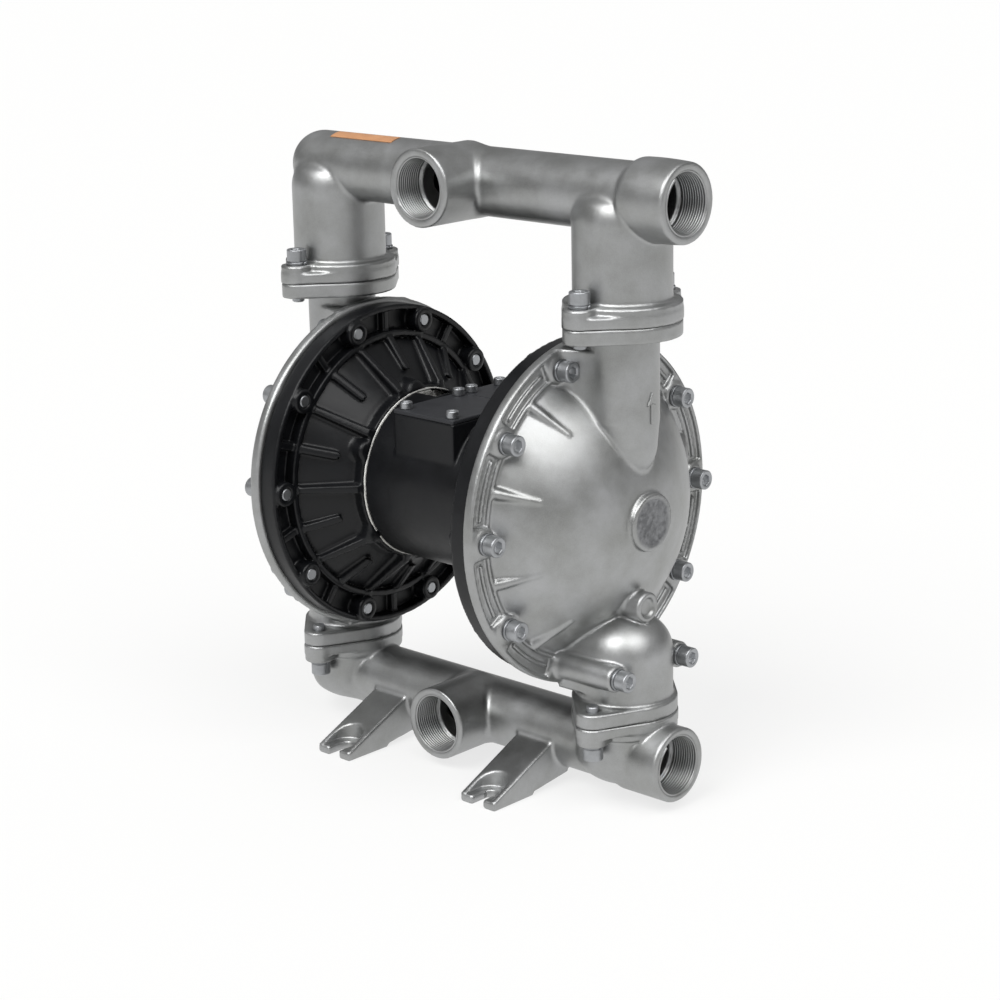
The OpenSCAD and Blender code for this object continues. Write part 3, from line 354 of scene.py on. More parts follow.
def flange_plan(u, v, r, lobe=13.0):
    """Outline of an oval flange: a round middle with a lobe round each bolt."""
    a = math.acos((r - lobe) / FLANGE_BOLT_Y)
    v = np.abs(v)
    side = np.abs(u) * math.sin(a) + v * math.cos(a) - r
    d = np.minimum(rod(u, v, r), rod(u, v - FLANGE_BOLT_Y, lobe))
    along = v * math.sin(a) - np.abs(u) * math.cos(a)
    return np.where((along > 0) & (along < FLANGE_BOLT_Y * math.sin(a)), side, d)


def about_leg(x, y, side, up):
    """Coordinates about a leg's axis, turned so that the flange's bolts lie along the second one."""
    u = x - side * LEG_X
    if up > 0:
        return u, y + 0 * u
    return u * math.cos(LOW_TURN) + y * math.sin(LOW_TURN), y * math.cos(LOW_TURN) - u * math.sin(LOW_TURN)


def port_bore(h, u, v, face):
    """Threaded bore with a chamfered mouth, along h towards the port's face."""
    d = rod(u, v, PORT_R)
    mouth = (d - 1.0 + (face - h)) * AT_45
    return np.maximum(np.minimum(d, mouth), face - PORT_DEPTH - h)


def leg_and_flange(x, y, z, side, up):
    """A leg with its domed end, and its flange with the raised pads under the bolts."""
    u = x - side * LEG_X
    p, q = about_leg(x, y, side, up)
    joint, end_z, r = (TOP_JOINT_Z, TOP_END_Z, FLANGE_R) if up > 0 else (LOW_JOINT_Z, LOW_END_Z, LOW_FLANGE_R)
    h = (z - joint) * up
    beyond = np.maximum((z - end_z) * up, 0)
    leg = common(rod(u, y, LEG_R), np.sqrt(u * u + y * y + beyond * beyond) - END_R, 6.0)
    plan = flange_plan(p, q, r)
    web = common(plan, between(h, 0, 9.0), 1.3)
    hub = common(rod(u, y, r), between(h, 0, PAD_H), 1.6)
    pads = common(common(np.abs(p) - 12.2, plan, 3.0), between(h, 0, PAD_H), 1.4)
    flange = joined(web, joined(hub, np.where(np.abs(q) > 26, pads, FAR), 1.5), 1.8)
    return common(joined(flange, leg, 2.5), -h, 0.6)


def manifold_core(x, y, z, side, up):
    """Ball chamber in a discharge leg, or the wide way under a suction seat, with the bolt holes."""
    u = x - side * LEG_X
    p, q = about_leg(x, y, side, up)
    joint, end_z, r = (TOP_JOINT_Z, TOP_CORE_Z, CHAMBER_R) if up > 0 else (LOW_JOINT_Z, LOW_CORE_Z, CHAMBER_R - 3)
    beyond = np.maximum((z - end_z) * up, 0)
    core = np.sqrt(u * u + y * y + beyond * beyond) - r
    if up < 0:
        core = np.minimum(core, np.maximum(rod(u, y, SEAT_R), joint - z - SEAT_T))
    return np.minimum(core, rod(p, np.abs(q) - FLANGE_BOLT_Y, 5.5) + 0 * z)


def tube(x, y, h):
    """Manifold tube with a ball-shaped left end."""
    over = np.maximum(-x - TUBE_BALL_X, 0)
    return np.maximum(np.sqrt(y * y + h * h + over * over) - TUBE_R, x - 195.0)


def discharge_field(x, y, z):
    """The discharge manifold: tube, two legs with flanges, middle port and end port."""
    h = z - TOP_Z
    solid = tube(x, y, h)
    for side in (-1, 1):
        solid = joined(solid, leg_and_flange(x, y, z, side, 1), 2.5)
    tee = common(rod(x, h, 30.6), between(y, -TOP_FRONT_FACE, 1.0), 1.4)
    solid = joined(solid, tee, 4.0)
    # Barrel-shaped end collar, which starts at a rounded shoulder on the leg
    swell = 31.4 - 0.9 * ((x - 188) / 24) ** 2
    collar = common(rod(y, h, swell), between(x, 165.0, TOP_END_FACE), 1.6)
    shoulder = (rod(y, h, 25.0) - np.clip(x - 167, 0, 20)) * AT_45
    solid = joined(solid, common(collar, shoulder, 2.0), 1.0)
    ways = np.minimum(common(rod(y, h, BORE_R), between(x, -LEG_X, 210), 0.3),
                      common(rod(x, h, BORE_R), between(y, -56, 0), 0.3))
    ways = np.minimum(ways, port_bore(x, y, h, TOP_END_FACE))
    ways = np.minimum(ways, port_bore(-y, x, h, TOP_FRONT_FACE))
    for side in (-1, 1):
        ways = np.minimum(ways, manifold_core(x, y, z, side, 1))
    return cut(solid, ways, 0.5)


FOOT_X, FOOT_HALF_W, FOOT_TIP, FOOT_BOLT_Y = 82.0, 18.5, 95.0, 80.0


def feet(x, y, z):
    """Four wedge feet with a round spot face and an open slot."""
    u, v = np.abs(x) - FOOT_X, np.abs(y)
    side_view = outline(-v, z, [(-FOOT_TIP, 0.0), (-50.0, 0.0), (-48.0, 2.5), (-8.0, 7.5), (0.0, 38.0),
                                (-16.2, 43.0), (-FOOT_TIP, 7.0)])
    wedge = common(side_view, np.abs(u) - FOOT_HALF_W, 1.6)
    spot = np.maximum(np.where(v < FOOT_BOLT_Y, rod(u, v - FOOT_BOLT_Y, 13.5), np.abs(u) - 13.5), 7.0 - z)
    slot = np.where(v < FOOT_BOLT_Y, rod(u, v - FOOT_BOLT_Y, 6.0), np.abs(u) - 6.0)
    return cut(cut(wedge, spot, 1.2), slot, 1.0)


def suction_field(x, y, z):
    """The suction manifold: tube, two elbows with flanges, middle port, end port and four feet."""
    h = z - LOW_Z
    solid = tube(x, y, h)
    for side in (-1, 1):
        solid = joined(solid, leg_and_flange(x, y, z, side, -1), 2.0)
    tee = common(rod(x, h, 29.8), between(y, -LOW_FRONT_FACE, 1.0), 1.4)
    solid = joined(solid, tee, 3.5)
    collar = common(rod(y, h, 29.8), between(x, 162.0, LOW_END_FACE), 2.2)
    solid = joined(solid, collar, 1.5)
    solid = joined(solid, feet(x, y, z), 3.0)
    ways = np.minimum(common(rod(y, h, BORE_R), between(x, -LEG_X, 203), 0.3),
                      common(rod(x, h, BORE_R), between(y, -50, 0), 0.3))
    ways = np.minimum(ways, port_bore(x, y, h, LOW_END_FACE))
    ways = np.minimum(ways, port_bore(-y, x, h, LOW_FRONT_FACE))
    for side in (-1, 1):
        ways = np.minimum(ways, manifold_core(x, y, z, side, -1))
    return cut(solid, ways, 0.5)


# ---- Fluid covers ----

# Rim and dome
COVER_R, DOME_MID_X, DOME_R, RIM_X = 138.0, 42.2, 137.8, 122.5
# Half angles of a pocket between two bolts and of the ridge in it
POCKET_HALF, RIDGE_HALF = math.radians(12.3), math.radians(10.6)
# Flange faces, the neck's radius and foot, and the ball chamber's middle, with heights counted from the shaft
COVER_END_H, NECK_R, NECK_END_H, BULB_H = 155.0, 28.0, 58.0, 114.0
DISC_R, DISC_X = 22.8, 183.0
DRAIN_H, DRAIN_R, DRAIN_RECESS_R = 69.0, 12.0, 7.5
RIB_LONG, RIB_SLOPE = 32, math.radians(46.6)


def cover_field(x, y, z):
    """A fluid cover on the +X side: rim, dome, neck, ball chamber, bosses and ribs."""
    h = z - SHAFT_Z
    r = np.sqrt(y * y + h * h)
    rim = common(r - COVER_R, between(x, JOINT_X, RIM_X), 2.2)
    # Valley between the rim's inner ridge and the dome
    rim = cut(rim, np.sqrt((r - 114.5) ** 2 + (x - 124.0) ** 2) - 4.0, 1.0)
    # Pockets left by the core between the bolts, with a thin ridge along their middle
    radial, sideways, _ = turned_to(y, h, BOLT_STEP)
    sector = np.abs(sideways) * math.cos(POCKET_HALF) - radial * math.sin(POCKET_HALF)
    short = np.abs(sideways) * math.cos(RIDGE_HALF) - radial * math.sin(RIDGE_HALF)
    pocket = common(np.maximum(between(r, 120.0, 134.6), sector), RIM_X - 3.6 - x, 0.8)
    ridge = common(np.maximum(between(r, 125.6, 128.2), short), x - RIM_X + 0.2, 0.5)
    pocket = np.where(np.abs(y) > 30, np.maximum(pocket, -ridge), FAR)
    rim = cut(rim, pocket, 0.9)
    dome = np.maximum(ball(x - DOME_MID_X, y, h, DOME_R), JOINT_X + 1 - x)
    solid = joined(rim, dome, 2.5)
    # Centre disc with a slightly uneven, sunken face
    uneven = (0.2 * np.sin(0.45 * y + 0.2 * h) + 0.2 * np.sin(0.35 * h - 0.3 * y + 1)
              + 0.1 * np.sin(0.9 * y - 0.6 * h))
    face_x = DISC_X - (0.9 + uneven) * np.clip((20.5 - r) / 2.0, 0, 1)
    disc = common(r - DISC_R, np.maximum(x - face_x, 170 - x), 1.4)
    solid = joined(solid, disc, 1.5)
    # Bolt bosses
    ru, rv, _ = turned_to(y, h, BOLT_STEP, BOLT_STEP / 2)
    boss = common(rod(ru - BOLT_CIRCLE, rv, 10.8), between(x, JOINT_X + 1, BOSS_X), 1.0)
    solid = joined(solid, boss, 2.5)
    low = (h < -100) & (np.abs(y) < 60)
    long_boss = common(rod(ru - BOLT_CIRCLE, rv, 10.5), between(x, JOINT_X + 1, LONG_X), 1.2)
    solid = joined(solid, np.where(low, long_boss, FAR), 3.0)
    # Upper neck, which flares back to the rim and tapers to a tip on the dome
    back = np.clip((LEG_X - x) / 32.0, 0, 1.3)
    width = NECK_R + 10.0 * back ** 2
    u = np.maximum(x - LEG_X, 0)
    neck_h = np.minimum(h - NECK_END_H, 0)
    tip = y * (1 + 0.011 * np.clip(78.0 - h, 0, 45))
    neck = np.sqrt(u * u + tip * tip + neck_h * neck_h) - width
    neck = common(np.maximum(neck, JOINT_X + 4 - x), h - 133.0, 1.5)
    neck = np.minimum(neck, np.maximum(rod(x - LEG_X, y, NECK_R), between(h, 100.0, 154.0)))
    solid = joined(solid, neck, 2.2)
    top = common(flange_plan(x - LEG_X, y, FLANGE_R),
                 between(h, COVER_END_H - COVER_FLANGE_T, COVER_END_H), 1.3)
    solid = joined(solid, top, 2.0)
    # Ball chamber
    bulb_h = np.maximum(h + BULB_H, 0)
    bulb = common(np.sqrt(u * u + y * y) - LEG_R, h + 79.0, 29.0)
    bulb = common(np.maximum(bulb, JOINT_X + 4 - x), -h - 137.0, 1.5)
    bulb = np.minimum(bulb, np.maximum(rod(x - LEG_X, y, LEG_R), between(h, -154.5, -BULB_H)))
    solid = joined(solid, bulb, 2.5)
    p, q = about_leg(x, y, 1, -1)
    bottom = common(flange_plan(p, q, LOW_FLANGE_R),
                    between(h, -COVER_END_H, COVER_FLANGE_T - COVER_END_H), 1.3)
    solid = joined(solid, bottom, 2.5)
    # Drain boss
    drain = common(rod(y, h + DRAIN_H, DRAIN_R), between(x, 140, 178.0), 1.4)
    solid = joined(solid, drain, 2.5)
    # Pointed ribs on the dome
    ra, rb = radial - 112.5, x - RIM_X
    along = -ra * math.cos(RIB_SLOPE) + rb * math.sin(RIB_SLOPE)
    lift = ra * math.sin(RIB_SLOPE) + rb * math.cos(RIB_SLOPE)
    taper = 4.4 - 3.6 * np.clip(along / RIB_LONG, 0, 1)
    past = np.maximum(along - RIB_LONG, 0) + np.maximum(-2 - along, 0)
    rib = (np.sqrt(sideways ** 2 + (lift - 0.4) ** 2 + past ** 2) - taper) * 0.95
    solid = joined(solid, np.where(np.abs(y) > 35, rib, FAR), 2.0)
    # Inside: the pumping chamber, the ways to and from it, and the seats
    cavity = np.maximum(ball(x - DOME_MID_X, y, h, DOME_R - 6), r - 102.0)
    cavity = np.minimum(cavity, np.maximum(r - 111.05, x - JOINT_X - 2))
    upper = np.sqrt((x - LEG_X) ** 2 + y * y + neck_h * neck_h) - BORE_R
    cavity = np.minimum(cavity, upper)
    cavity = np.minimum(cavity, np.maximum(rod(x - LEG_X, y, SEAT_R), 147.0 - h))
    chamber = np.sqrt((x - LEG_X) ** 2 + y * y + bulb_h * bulb_h) - CHAMBER_R
    cavity = np.minimum(cavity, chamber)
    cavity = np.minimum(cavity, np.maximum(rod(y, h - 80.0, 18.0), between(x, 119.5, LEG_X)))
    cavity = np.minimum(cavity, np.maximum(rod(y, h + 93.6, 12.0), between(x, 119.5, LEG_X - 3)))
    holes = np.minimum(rod(ru - BOLT_CIRCLE, rv, 5.5) + 0 * x,
                       np.maximum(rod(x - LEG_X, np.abs(y) - FLANGE_BOLT_Y, 5.05), 140 - h))
    holes = np.minimum(holes, np.maximum(rod(p, np.abs(q) - FLANGE_BOLT_Y, 5.05), 140 + h))
    recess = np.maximum(rod(y, h + DRAIN_H, DRAIN_RECESS_R), 175.0 - x)
    return cut(cut(solid, np.minimum(cavity, holes), 0.4), recess, 0.8)


def arrow_field(x, y, z):
    """A plain raised arrow on the neck, which shows that the liquid rises."""
    h = z - SHAFT_Z
    shaft = box2(y, h - 85.0, 1.35, 8.0)
    head = outline(y, h, [(-5.0, 91.0), (0.0, 101.5), (5.0, 91.0), (0.0, 93.5)])
    flat = np.minimum(shaft, head)
    return common(common(flat, rod(x - LEG_X, y, 29.2), 0.4), 26.5 - (x - LEG_X), 0.2)


# ---- Air housings and centre block ----

HOUSING_R, DRUM_R = 134.5, 69.5
# Heights of the air ports behind the block, counted from the shaft
AIR_IN_H, AIR_OUT_H = 12.0, -30.0


def housing_field(x, y, z):
    """A black air housing on the +X side."""
    h = z - SHAFT_Z
    r = np.sqrt(y * y + h * h)
    body = outline(r, x, [(0.0, 61.2), (72.0, 61.2), (72.0, 71.0), (76.0, 74.0), (107.5, 103.0), (107.5, 98.0),
                          (113.0, 98.0), (113.0, 108.0), (130.0, 108.0), (130.0, 98.0), (140.0, 98.0),
                          (140.0, 113.5), (0.0, 113.5)])
    body = common(body, r - HOUSING_R, 0.9)
    ru, rv, _ = turned_to(y, h, BOLT_STEP, BOLT_STEP / 2)
    boss = common(rod(ru - BOLT_CIRCLE, rv, 10.0), between(x, HOUSING_BOSS_X, 112.0), 1.2)
    solid = joined(body, boss, 1.5)
    long_rib = common(outline(ru, x, [(68.5, 61.7), (76.0, 61.7), (108.0, 95.5), (108.0, 104.0), (68.5, 69.2)]),
                      np.abs(rv) - 3.4 + 0.02 * (r - 75), 1.2)
    solid = joined(solid, long_rib, 2.5)
    su, sv, _ = turned_to(y, h, BOLT_STEP)
    short = common(outline(su, x, [(84.0, 76.0), (109.0, 96.5), (109.0, 105.0), (84.0, 84.0)]),
                   np.abs(sv) - 3.4, 1.8)
    web = common(outline(su, x, [(111.5, 101.5), (132.0, 101.5), (132.0, 109.0), (111.5, 109.0)]),
                 np.abs(sv) - 3.2, 1.0)
    solid = joined(solid, np.minimum(short, web), 1.5)
    # Rounded bosses over the screws that hold the housing to the block
    wu, wv, _ = turned_to(y, h, 60.0, -5.0)
    lug = common(rod(wu - 69.0, wv, 9.0), between(x, 61.2, 76.0), 3.0)
    solid = joined(solid, lug, 3.0)
    cavity = outline(r, x, [(-1.0, 72.7), (63.5, 72.7), (100.0, 105.5), (102.0, 111.5), (111.05, 111.5),
                            (111.05, 115.0), (-1.0, 115.0)])
    holes = np.minimum(rod(ru - BOLT_CIRCLE, rv, 5.05) + 0 * x, np.maximum(r - 14.0, x - 80))
    holes = np.minimum(holes, np.maximum(rod(y - PILOT_Y, h - PILOT_H, 5.0), x - 80))
    return cut(solid, np.minimum(cavity, holes), 0.4)


def block_field(x, y, z):
    """Centre block: drum, valve box and the air ports behind."""
    h = z - SHAFT_Z
    drum = common(rod(y, h, DRUM_R), np.abs(x) - 60.2, 0.8)
    square = common(common(np.abs(x) - BOX_HALF_X, np.abs(y) - BOX_HALF_Y, 1.6), between(h, 0.0, 70.0), 0.5)
    solid = joined(drum, square, 1.2)
    solid = common(solid, np.where(np.abs(x) < 33.5, h - 65.0, -5.0), 0.6)
    inlet = common(rod(x, h - AIR_IN_H, 16.5), between(y, 0, 76.0), 1.2)
    outlet = common(rod(x, h - AIR_OUT_H, 19.2), between(y, 0, 76.0), 1.2)
    solid = joined(solid, joined(inlet, outlet, 2.0), 2.5)
    bores = np.minimum(rod(y, h, 17.05) + 0 * x, rod(y - VALVE_Y, h - VALVE_H, 13.55) + 0 * x)
    bores = np.minimum(bores, rod(y - PILOT_Y, h - PILOT_H, 7.05) + 0 * x)
    bores = np.minimum(bores, np.maximum(rod(x, h - AIR_IN_H, 10.5), 60.0 - y))
    bores = np.minimum(bores, np.maximum(rod(x, h - AIR_OUT_H, 13.2), 60.0 - y))
    return cut(solid, bores, 0.5)


def plate_field(y0, y1):
    """A flat plate on the valve box, from y0 to y1."""
    def field(x, y, z):
        plan = box2(x, y - (y0 + y1) / 2, BOX_HALF_X, (y1 - y0) / 2, 1.5)
        return common(plan, between(z, PLATE_Z, PLATE_Z + PLATE_T), 0.7)
    return field


covers = casting("cover_casting_right", cover_field, (106, -139, 73), (199, 139, 385), 1.78,
                 half_turn="cover_casting_left")
arrows = casting("flow_arrow_right", arrow_field, (177, -6, 305), (184, 6, 333), 0.5,
                 half_turn="flow_arrow_left")
for cover, arrow, word in zip(covers, arrows, ("right", "left")):
    finish_piece(fused("cover_casting_" + word, [cover, arrow]), cast_steel, "pump_body", "cast_stainless",
                 "fluid_cover_" + word)
housings = casting("housing_casting_right", housing_field, (61, -135, 94), (114, 135, 364), 1.54,
                   "housing_casting_left")
for housing, node in zip(housings, ("air_housing_right", "air_housing_left")):
    finish_piece(housing, black_coat, "pump_body", "black_housing", node)
block, = casting("centre_block_casting", block_field, (-61, -70, 159), (61, 77, 295), 1.5)
finish_piece(block, black_coat, "pump_body", "black_housing", "centre_block")
for name, y0, y1 in (("valve_plate", -BOX_HALF_Y, 12.7), ("pilot_plate", 13.3, BOX_HALF_Y)):
    plate, = casting(name + "_cover", plate_field(y0, y1), (-BOX_HALF_X, y0, PLATE_Z),
                     (BOX_HALF_X, y1, PLATE_Z + PLATE_T), 0.9)
    # The plates take the black coat painted a shade greyer, a painted reflection of the key lamp
    finish_piece(plate, sheen_painted_plate_coat, "pump_body", "black_housing", name)


# ---- Screws and washers ----

def ring_points(r, n, six):
    """Points of a circle, or of a hexagon with corner radius r where six is 1."""
    a = np.arange(n) * 2 * math.pi / n
    hexagon = math.cos(math.pi / 6) / np.cos(a % (math.pi / 3) - math.pi / 6)
    radius = r * (1 - six + six * hexagon)
    return np.stack([radius * np.cos(a), radius * np.sin(a)], axis=1)


def lofted(name, rings):
    """A closed body round Z from rings of height, radius and hexagon share."""
    n, faces = 48, []
    points = np.concatenate([np.column_stack([ring_points(r, n, six), np.full(n, height)])
                             for height, r, six in rings])
    for k in range(len(rings) - 1):
        for i in range(n):
            a, b = k * n + i, k * n + (i + 1) % n
            faces.append((a, b, b + n, a + n))
    return lifted(name, points, faces)


def bolt_shape(name, shank, r, head_r, head_h, socket_r, socket_d):
    """A socket head screw along Z: shank below 0, rounded head above, and a hexagon socket."""
    edge = 1.0
    arc = [(head_h - edge + edge * math.sin(t), head_r - edge + edge * math.cos(t))
           for t in np.linspace(0, QUARTER, 5)]
    rings = [(-shank, 0.01, 0), (-shank, r - 1.1, 0), (-shank, r - 0.9, 0), (-shank + 0.9, r, 0),
             (-shank + 1.1, r, 0), (0, r, 0), (0, head_r - 0.5, 0), (0.5, head_r, 0), (0.8, head_r, 0)]
    rings += [(head_h - edge - 0.3, head_r, 0)] + [(a, b, 0) for a, b in arc]
    rings += [(head_h, head_r - edge - 0.2, 0)]
    rings += [(head_h, socket_r + 1.1, 0), (head_h - 0.5, socket_r + 0.2, 1), (head_h - 0.8, socket_r, 1),
              (head_h - socket_d, socket_r, 1), (head_h - socket_d - 1.2, 0.01, 1)]
    return lofted(name, rings)


def washer_shape(name, r_in, r_out, t):
    """A spring washer along Z with rounded edges, split by a slanting cut."""
    edge, n, gap = 0.45, 40, 0.09
    section = [(r_in + edge, 0), (r_out - edge, 0), (r_out, edge), (r_out, t - edge), (r_out - edge, t),
               (r_in + edge, t), (r_in, t - edge), (r_in, edge)]
    corners = len(section)
    points, faces = [], []
    for k in range(n + 1):
        for r, z in section:
            a = gap + (2 * math.pi - 2 * gap) * k / n + 0.09 * (z - t / 2)
            points.append((r * math.cos(a), r * math.sin(a), z))
    for k in range(n):
        for i in range(corners):
            a, b = k * corners + i, k * corners + (i + 1) % corners
            faces.append((a, b, b + corners, a + corners))
    last = n * corners
    for quad in ((0, 7, 2, 1), (7, 6, 3, 2), (6, 5, 4, 3)):
        faces.append(quad)
        faces.append(tuple(last + i for i in reversed(quad)))
    return lifted(name, points, faces)


def lifted(name, points, faces):
    """A mesh object with its faces turned outwards."""
    obj = mesh_object(name, points, faces)
    shell = bmesh.new()
    shell.from_mesh(obj.data)
    bmesh.ops.remove_doubles(shell, verts=shell.verts, dist=1e-7)
    bmesh.ops.recalc_face_normals(shell, faces=shell.faces)
    shell.to_mesh(obj.data)
    shell.free()
    return obj


def placing_tree(name):
    """Geometry Nodes that set one part on every point, turned, then made real with one finish."""
    tree = bpy.data.node_groups.new(name, "GeometryNodeTree")
    face = tree.interface
    face.new_socket("Geometry", in_out="INPUT", socket_type="NodeSocketGeometry")
    face.new_socket("Part", in_out="INPUT", socket_type="NodeSocketObject")
    face.new_socket("Turn", in_out="INPUT", socket_type="NodeSocketRotation")
    face.new_socket("Finish", in_out="INPUT", socket_type="NodeSocketMaterial")
    face.new_socket("Geometry", in_out="OUTPUT", socket_type="NodeSocketGeometry")
    inputs = add(tree, "NodeGroupInput").outputs
    part = add(tree, "GeometryNodeObjectInfo", links={"Object": inputs["Part"]})
    placed = add(tree, "GeometryNodeInstanceOnPoints",
                 links={"Points": inputs["Geometry"], "Instance": part.outputs["Geometry"],
                        "Rotation": inputs["Turn"]})
    real = add(tree, "GeometryNodeRealizeInstances", links={0: placed.outputs[0]})
    done = add(tree, "GeometryNodeSetMaterial", links={"Geometry": real.outputs[0], "Material": inputs["Finish"]})
    add(tree, "NodeGroupOutput", links={0: done.outputs[0]})
    return tree


def thread_tree(name):
    """Geometry Nodes that sweep a round bead along a helix, as the rounded turns of a pipe thread."""
    tree = bpy.data.node_groups.new(name, "GeometryNodeTree")
    face = tree.interface
    for word, kind in (("Radius", "Float"), ("Length", "Float"), ("Turns", "Float"), ("Bead", "Float"),
                       ("Place", "Vector"), ("Turn", "Rotation"), ("Finish", "Material")):
        face.new_socket(word, in_out="INPUT", socket_type="NodeSocket" + kind)
    face.new_socket("Geometry", in_out="OUTPUT", socket_type="NodeSocketGeometry")
    inputs = add(tree, "NodeGroupInput").outputs
    helix = add(tree, "GeometryNodeCurveSpiral", {"Resolution": 72},
                {"Rotations": inputs["Turns"], "Start Radius": inputs["Radius"], "End Radius": inputs["Radius"],
                 "Height": inputs["Length"]})
    bead = add(tree, "GeometryNodeCurvePrimitiveCircle", {"Resolution": 8}, {"Radius": inputs["Bead"]})
    swept = add(tree, "GeometryNodeCurveToMesh", {"Fill Caps": True},
                {"Curve": helix.outputs[0], "Profile Curve": bead.outputs[0]})
    moved = add(tree, "GeometryNodeTransform",
                links={"Geometry": swept.outputs[0], "Translation": inputs["Place"], "Rotation": inputs["Turn"]})
    real = add(tree, "GeometryNodeRealizeInstances", links={0: moved.outputs[0]})
    done = add(tree, "GeometryNodeSetMaterial", links={"Geometry": real.outputs[0], "Material": inputs["Finish"]})
    add(tree, "NodeGroupOutput", links={0: done.outputs[0]})
    return tree


placing = placing_tree("parts_on_points")
winding = thread_tree("port_thread")


def made_plain(obj):
    """The evaluated mesh of an object as plain data, with its modifiers taken off."""
    mesh = bpy.data.meshes.new_from_object(obj.evaluated_get(bpy.context.evaluated_depsgraph_get()))
    obj.modifiers.clear()
    obj.data = mesh
    return obj


def grown(name, tree, points, values):
    """A plain object made by a Geometry Nodes tree from some points and the values of its named inputs."""
    spots = bpy.data.meshes.new(name)
    spots.from_pydata([Vector(p) * MM for p in points], [], [])
    obj = bpy.data.objects.new(name, spots)
    bpy.context.scene.collection.objects.link(obj)
    modifier = obj.modifiers.new(name, "NODES")
    modifier.node_group = tree
    for item in tree.interface.items_tree:
        if item.in_out == "INPUT" and item.name in values:
            modifier[item.identifier] = values[item.name]
    return made_plain(obj)


def placed_parts(name, part, points, turn, finish):
    """One object with a copy of the part on each point."""
    return grown(name, placing, points, {"Part": part, "Turn": turn, "Finish": finish})


# A port's thread: how far behind the port's face it starts, its length and its pitch
THREAD_START, THREAD_LONG, THREAD_PITCH = 24.5, 24.0, 2.309


def port_thread(name, place, turn):
    """The turns of a G 1 1/2 thread, which starts at the place and runs along the turned Z axis."""
    return grown(name, winding, [], {"Radius": 23.75 * MM, "Length": THREAD_LONG * MM,
                                     "Turns": THREAD_LONG / THREAD_PITCH,
                                     "Bead": 1.08 * MM, "Place": Vector(place) * MM, "Turn": turn,
                                     "Finish": cast_steel})


def on_bolt_circle(x, which):
    """Places on the cover's bolt circle, counted from the top, as far out along the shaft as x."""
    spots = []
    for i in which:
        a = math.radians(BOLT_STEP * (i + 0.5))
        spots.append((x, BOLT_CIRCLE * math.sin(a), SHAFT_Z + BOLT_CIRCLE * math.cos(a)))
    return spots


# The manifolds, each with the threads of its two ports
for word, field, low, high, step, z, end_x, front_y in (
        ("discharge", discharge_field, (-199, -66, 384), (216, 66, 507), 1.78, TOP_Z, TOP_END_FACE,
         TOP_FRONT_FACE),
        ("suction", suction_field, (-197, -96, 0), (208, 96, 75), 1.68, LOW_Z, LOW_END_FACE, LOW_FRONT_FACE)):
    manifold, = casting(word + "_manifold_casting", field, low, high, step)
    threads = [port_thread("end_thread", (end_x - THREAD_START, 0, z), (0, QUARTER, 0)),
               port_thread("front_thread", (0, THREAD_START - front_y, z), (QUARTER, 0, 0))]
    finish_piece(fused(word + "_manifold_casting", [manifold] + threads), cast_steel, "pump_body",
                 "cast_stainless", word + "_manifold")

# Sizes of a screw: its shank's radius, its head's radius and height, and its socket's corner radius and depth
M10 = (5.0, 8.0, 10.0, 4.6, 5.5)
M6 = (3.0, 5.0, 6.0, 2.6, 3.0)
# The two long bolts of a cover stand beside its ball chamber
short_ones, long_ones = (0, 1, 2, 3, 6, 7, 8, 9), (4, 5)
bolt = bolt_shape("bolt_m10", BOSS_X + WASHER_T - HOUSING_BOSS_X, *M10)
long_bolt = bolt_shape("bolt_m10_long", LONG_X + WASHER_T - HOUSING_BOSS_X, *M10)
flange_bolt = bolt_shape("bolt_m10_flange", PAD_H + WASHER_T + COVER_FLANGE_T + 4, *M10)
plate_screw = bolt_shape("screw_m6", 16, *M6)
washer = washer_shape("washer_m10", 5.3, 8.8, WASHER_T)
for side, word in ((1, "right"), (-1, "left")):
    turn = (0, side * QUARTER, 0)
    heads = placed_parts("bolts_short_" + word, bolt,
                         [(side * x, y, z) for x, y, z in on_bolt_circle(BOSS_X + WASHER_T, short_ones)],
                         turn, bolt_steel)
    longs = placed_parts("bolts_long_" + word, long_bolt,
                         [(side * x, y, z) for x, y, z in on_bolt_circle(LONG_X + WASHER_T, long_ones)],
                         turn, bolt_steel)
    finish_piece(fused("socket_bolts_" + word, [heads, longs]), bolt_steel, "pump_body", "bright_steel",
                 "cover_bolts_" + word)
    rings = placed_parts("spring_washers_" + word, washer,
                         [(side * x, y, z) for x, y, z in on_bolt_circle(BOSS_X, short_ones)
                          + on_bolt_circle(LONG_X, long_ones)], turn, washer_steel)
    finish_piece(rings, washer_steel, "pump_body", "washer_steel", "cover_washers_" + word)
for up, joint, word in ((1, TOP_JOINT_Z, "discharge"), (-1, LOW_JOINT_Z, "suction")):
    turn = (0, 0, 0) if up > 0 else (math.pi, 0, 0)
    tilt = 0 if up > 0 else LOW_TURN
    spots = [(m * LEG_X - n * FLANGE_BOLT_Y * math.sin(tilt), n * FLANGE_BOLT_Y * math.cos(tilt))
             for m in (-1, 1) for n in (-1, 1)]
    heads = placed_parts(word + "_flange_bolts", flange_bolt,
                         [(a, b, joint + up * (PAD_H + WASHER_T)) for a, b in spots], turn, bolt_steel)
    finish_piece(heads, bolt_steel, "pump_body", "bright_steel", word + "_bolts")
    rings = placed_parts(word + "_flange_washers", washer, [(a, b, joint + up * PAD_H) for a, b in spots], turn,
                         washer_steel)
    finish_piece(rings, washer_steel, "pump_body", "washer_steel", word + "_washers")
screws = placed_parts("plate_screw_set", plate_screw,
                      [(m * 25.5, y, PLATE_Z + PLATE_T) for y in (-54.5, 5.5, 20.5, 54.5) for m in (-1, 1)],
                      (0, 0, 0), bolt_steel)
finish_piece(screws, bolt_steel, "pump_body", "bright_steel", "plate_screws")
for shape in (bolt, long_bolt, flange_bolt, plate_screw, washer):
    bpy.data.objects.remove(shape)


# ---- Floor, light and camera ----

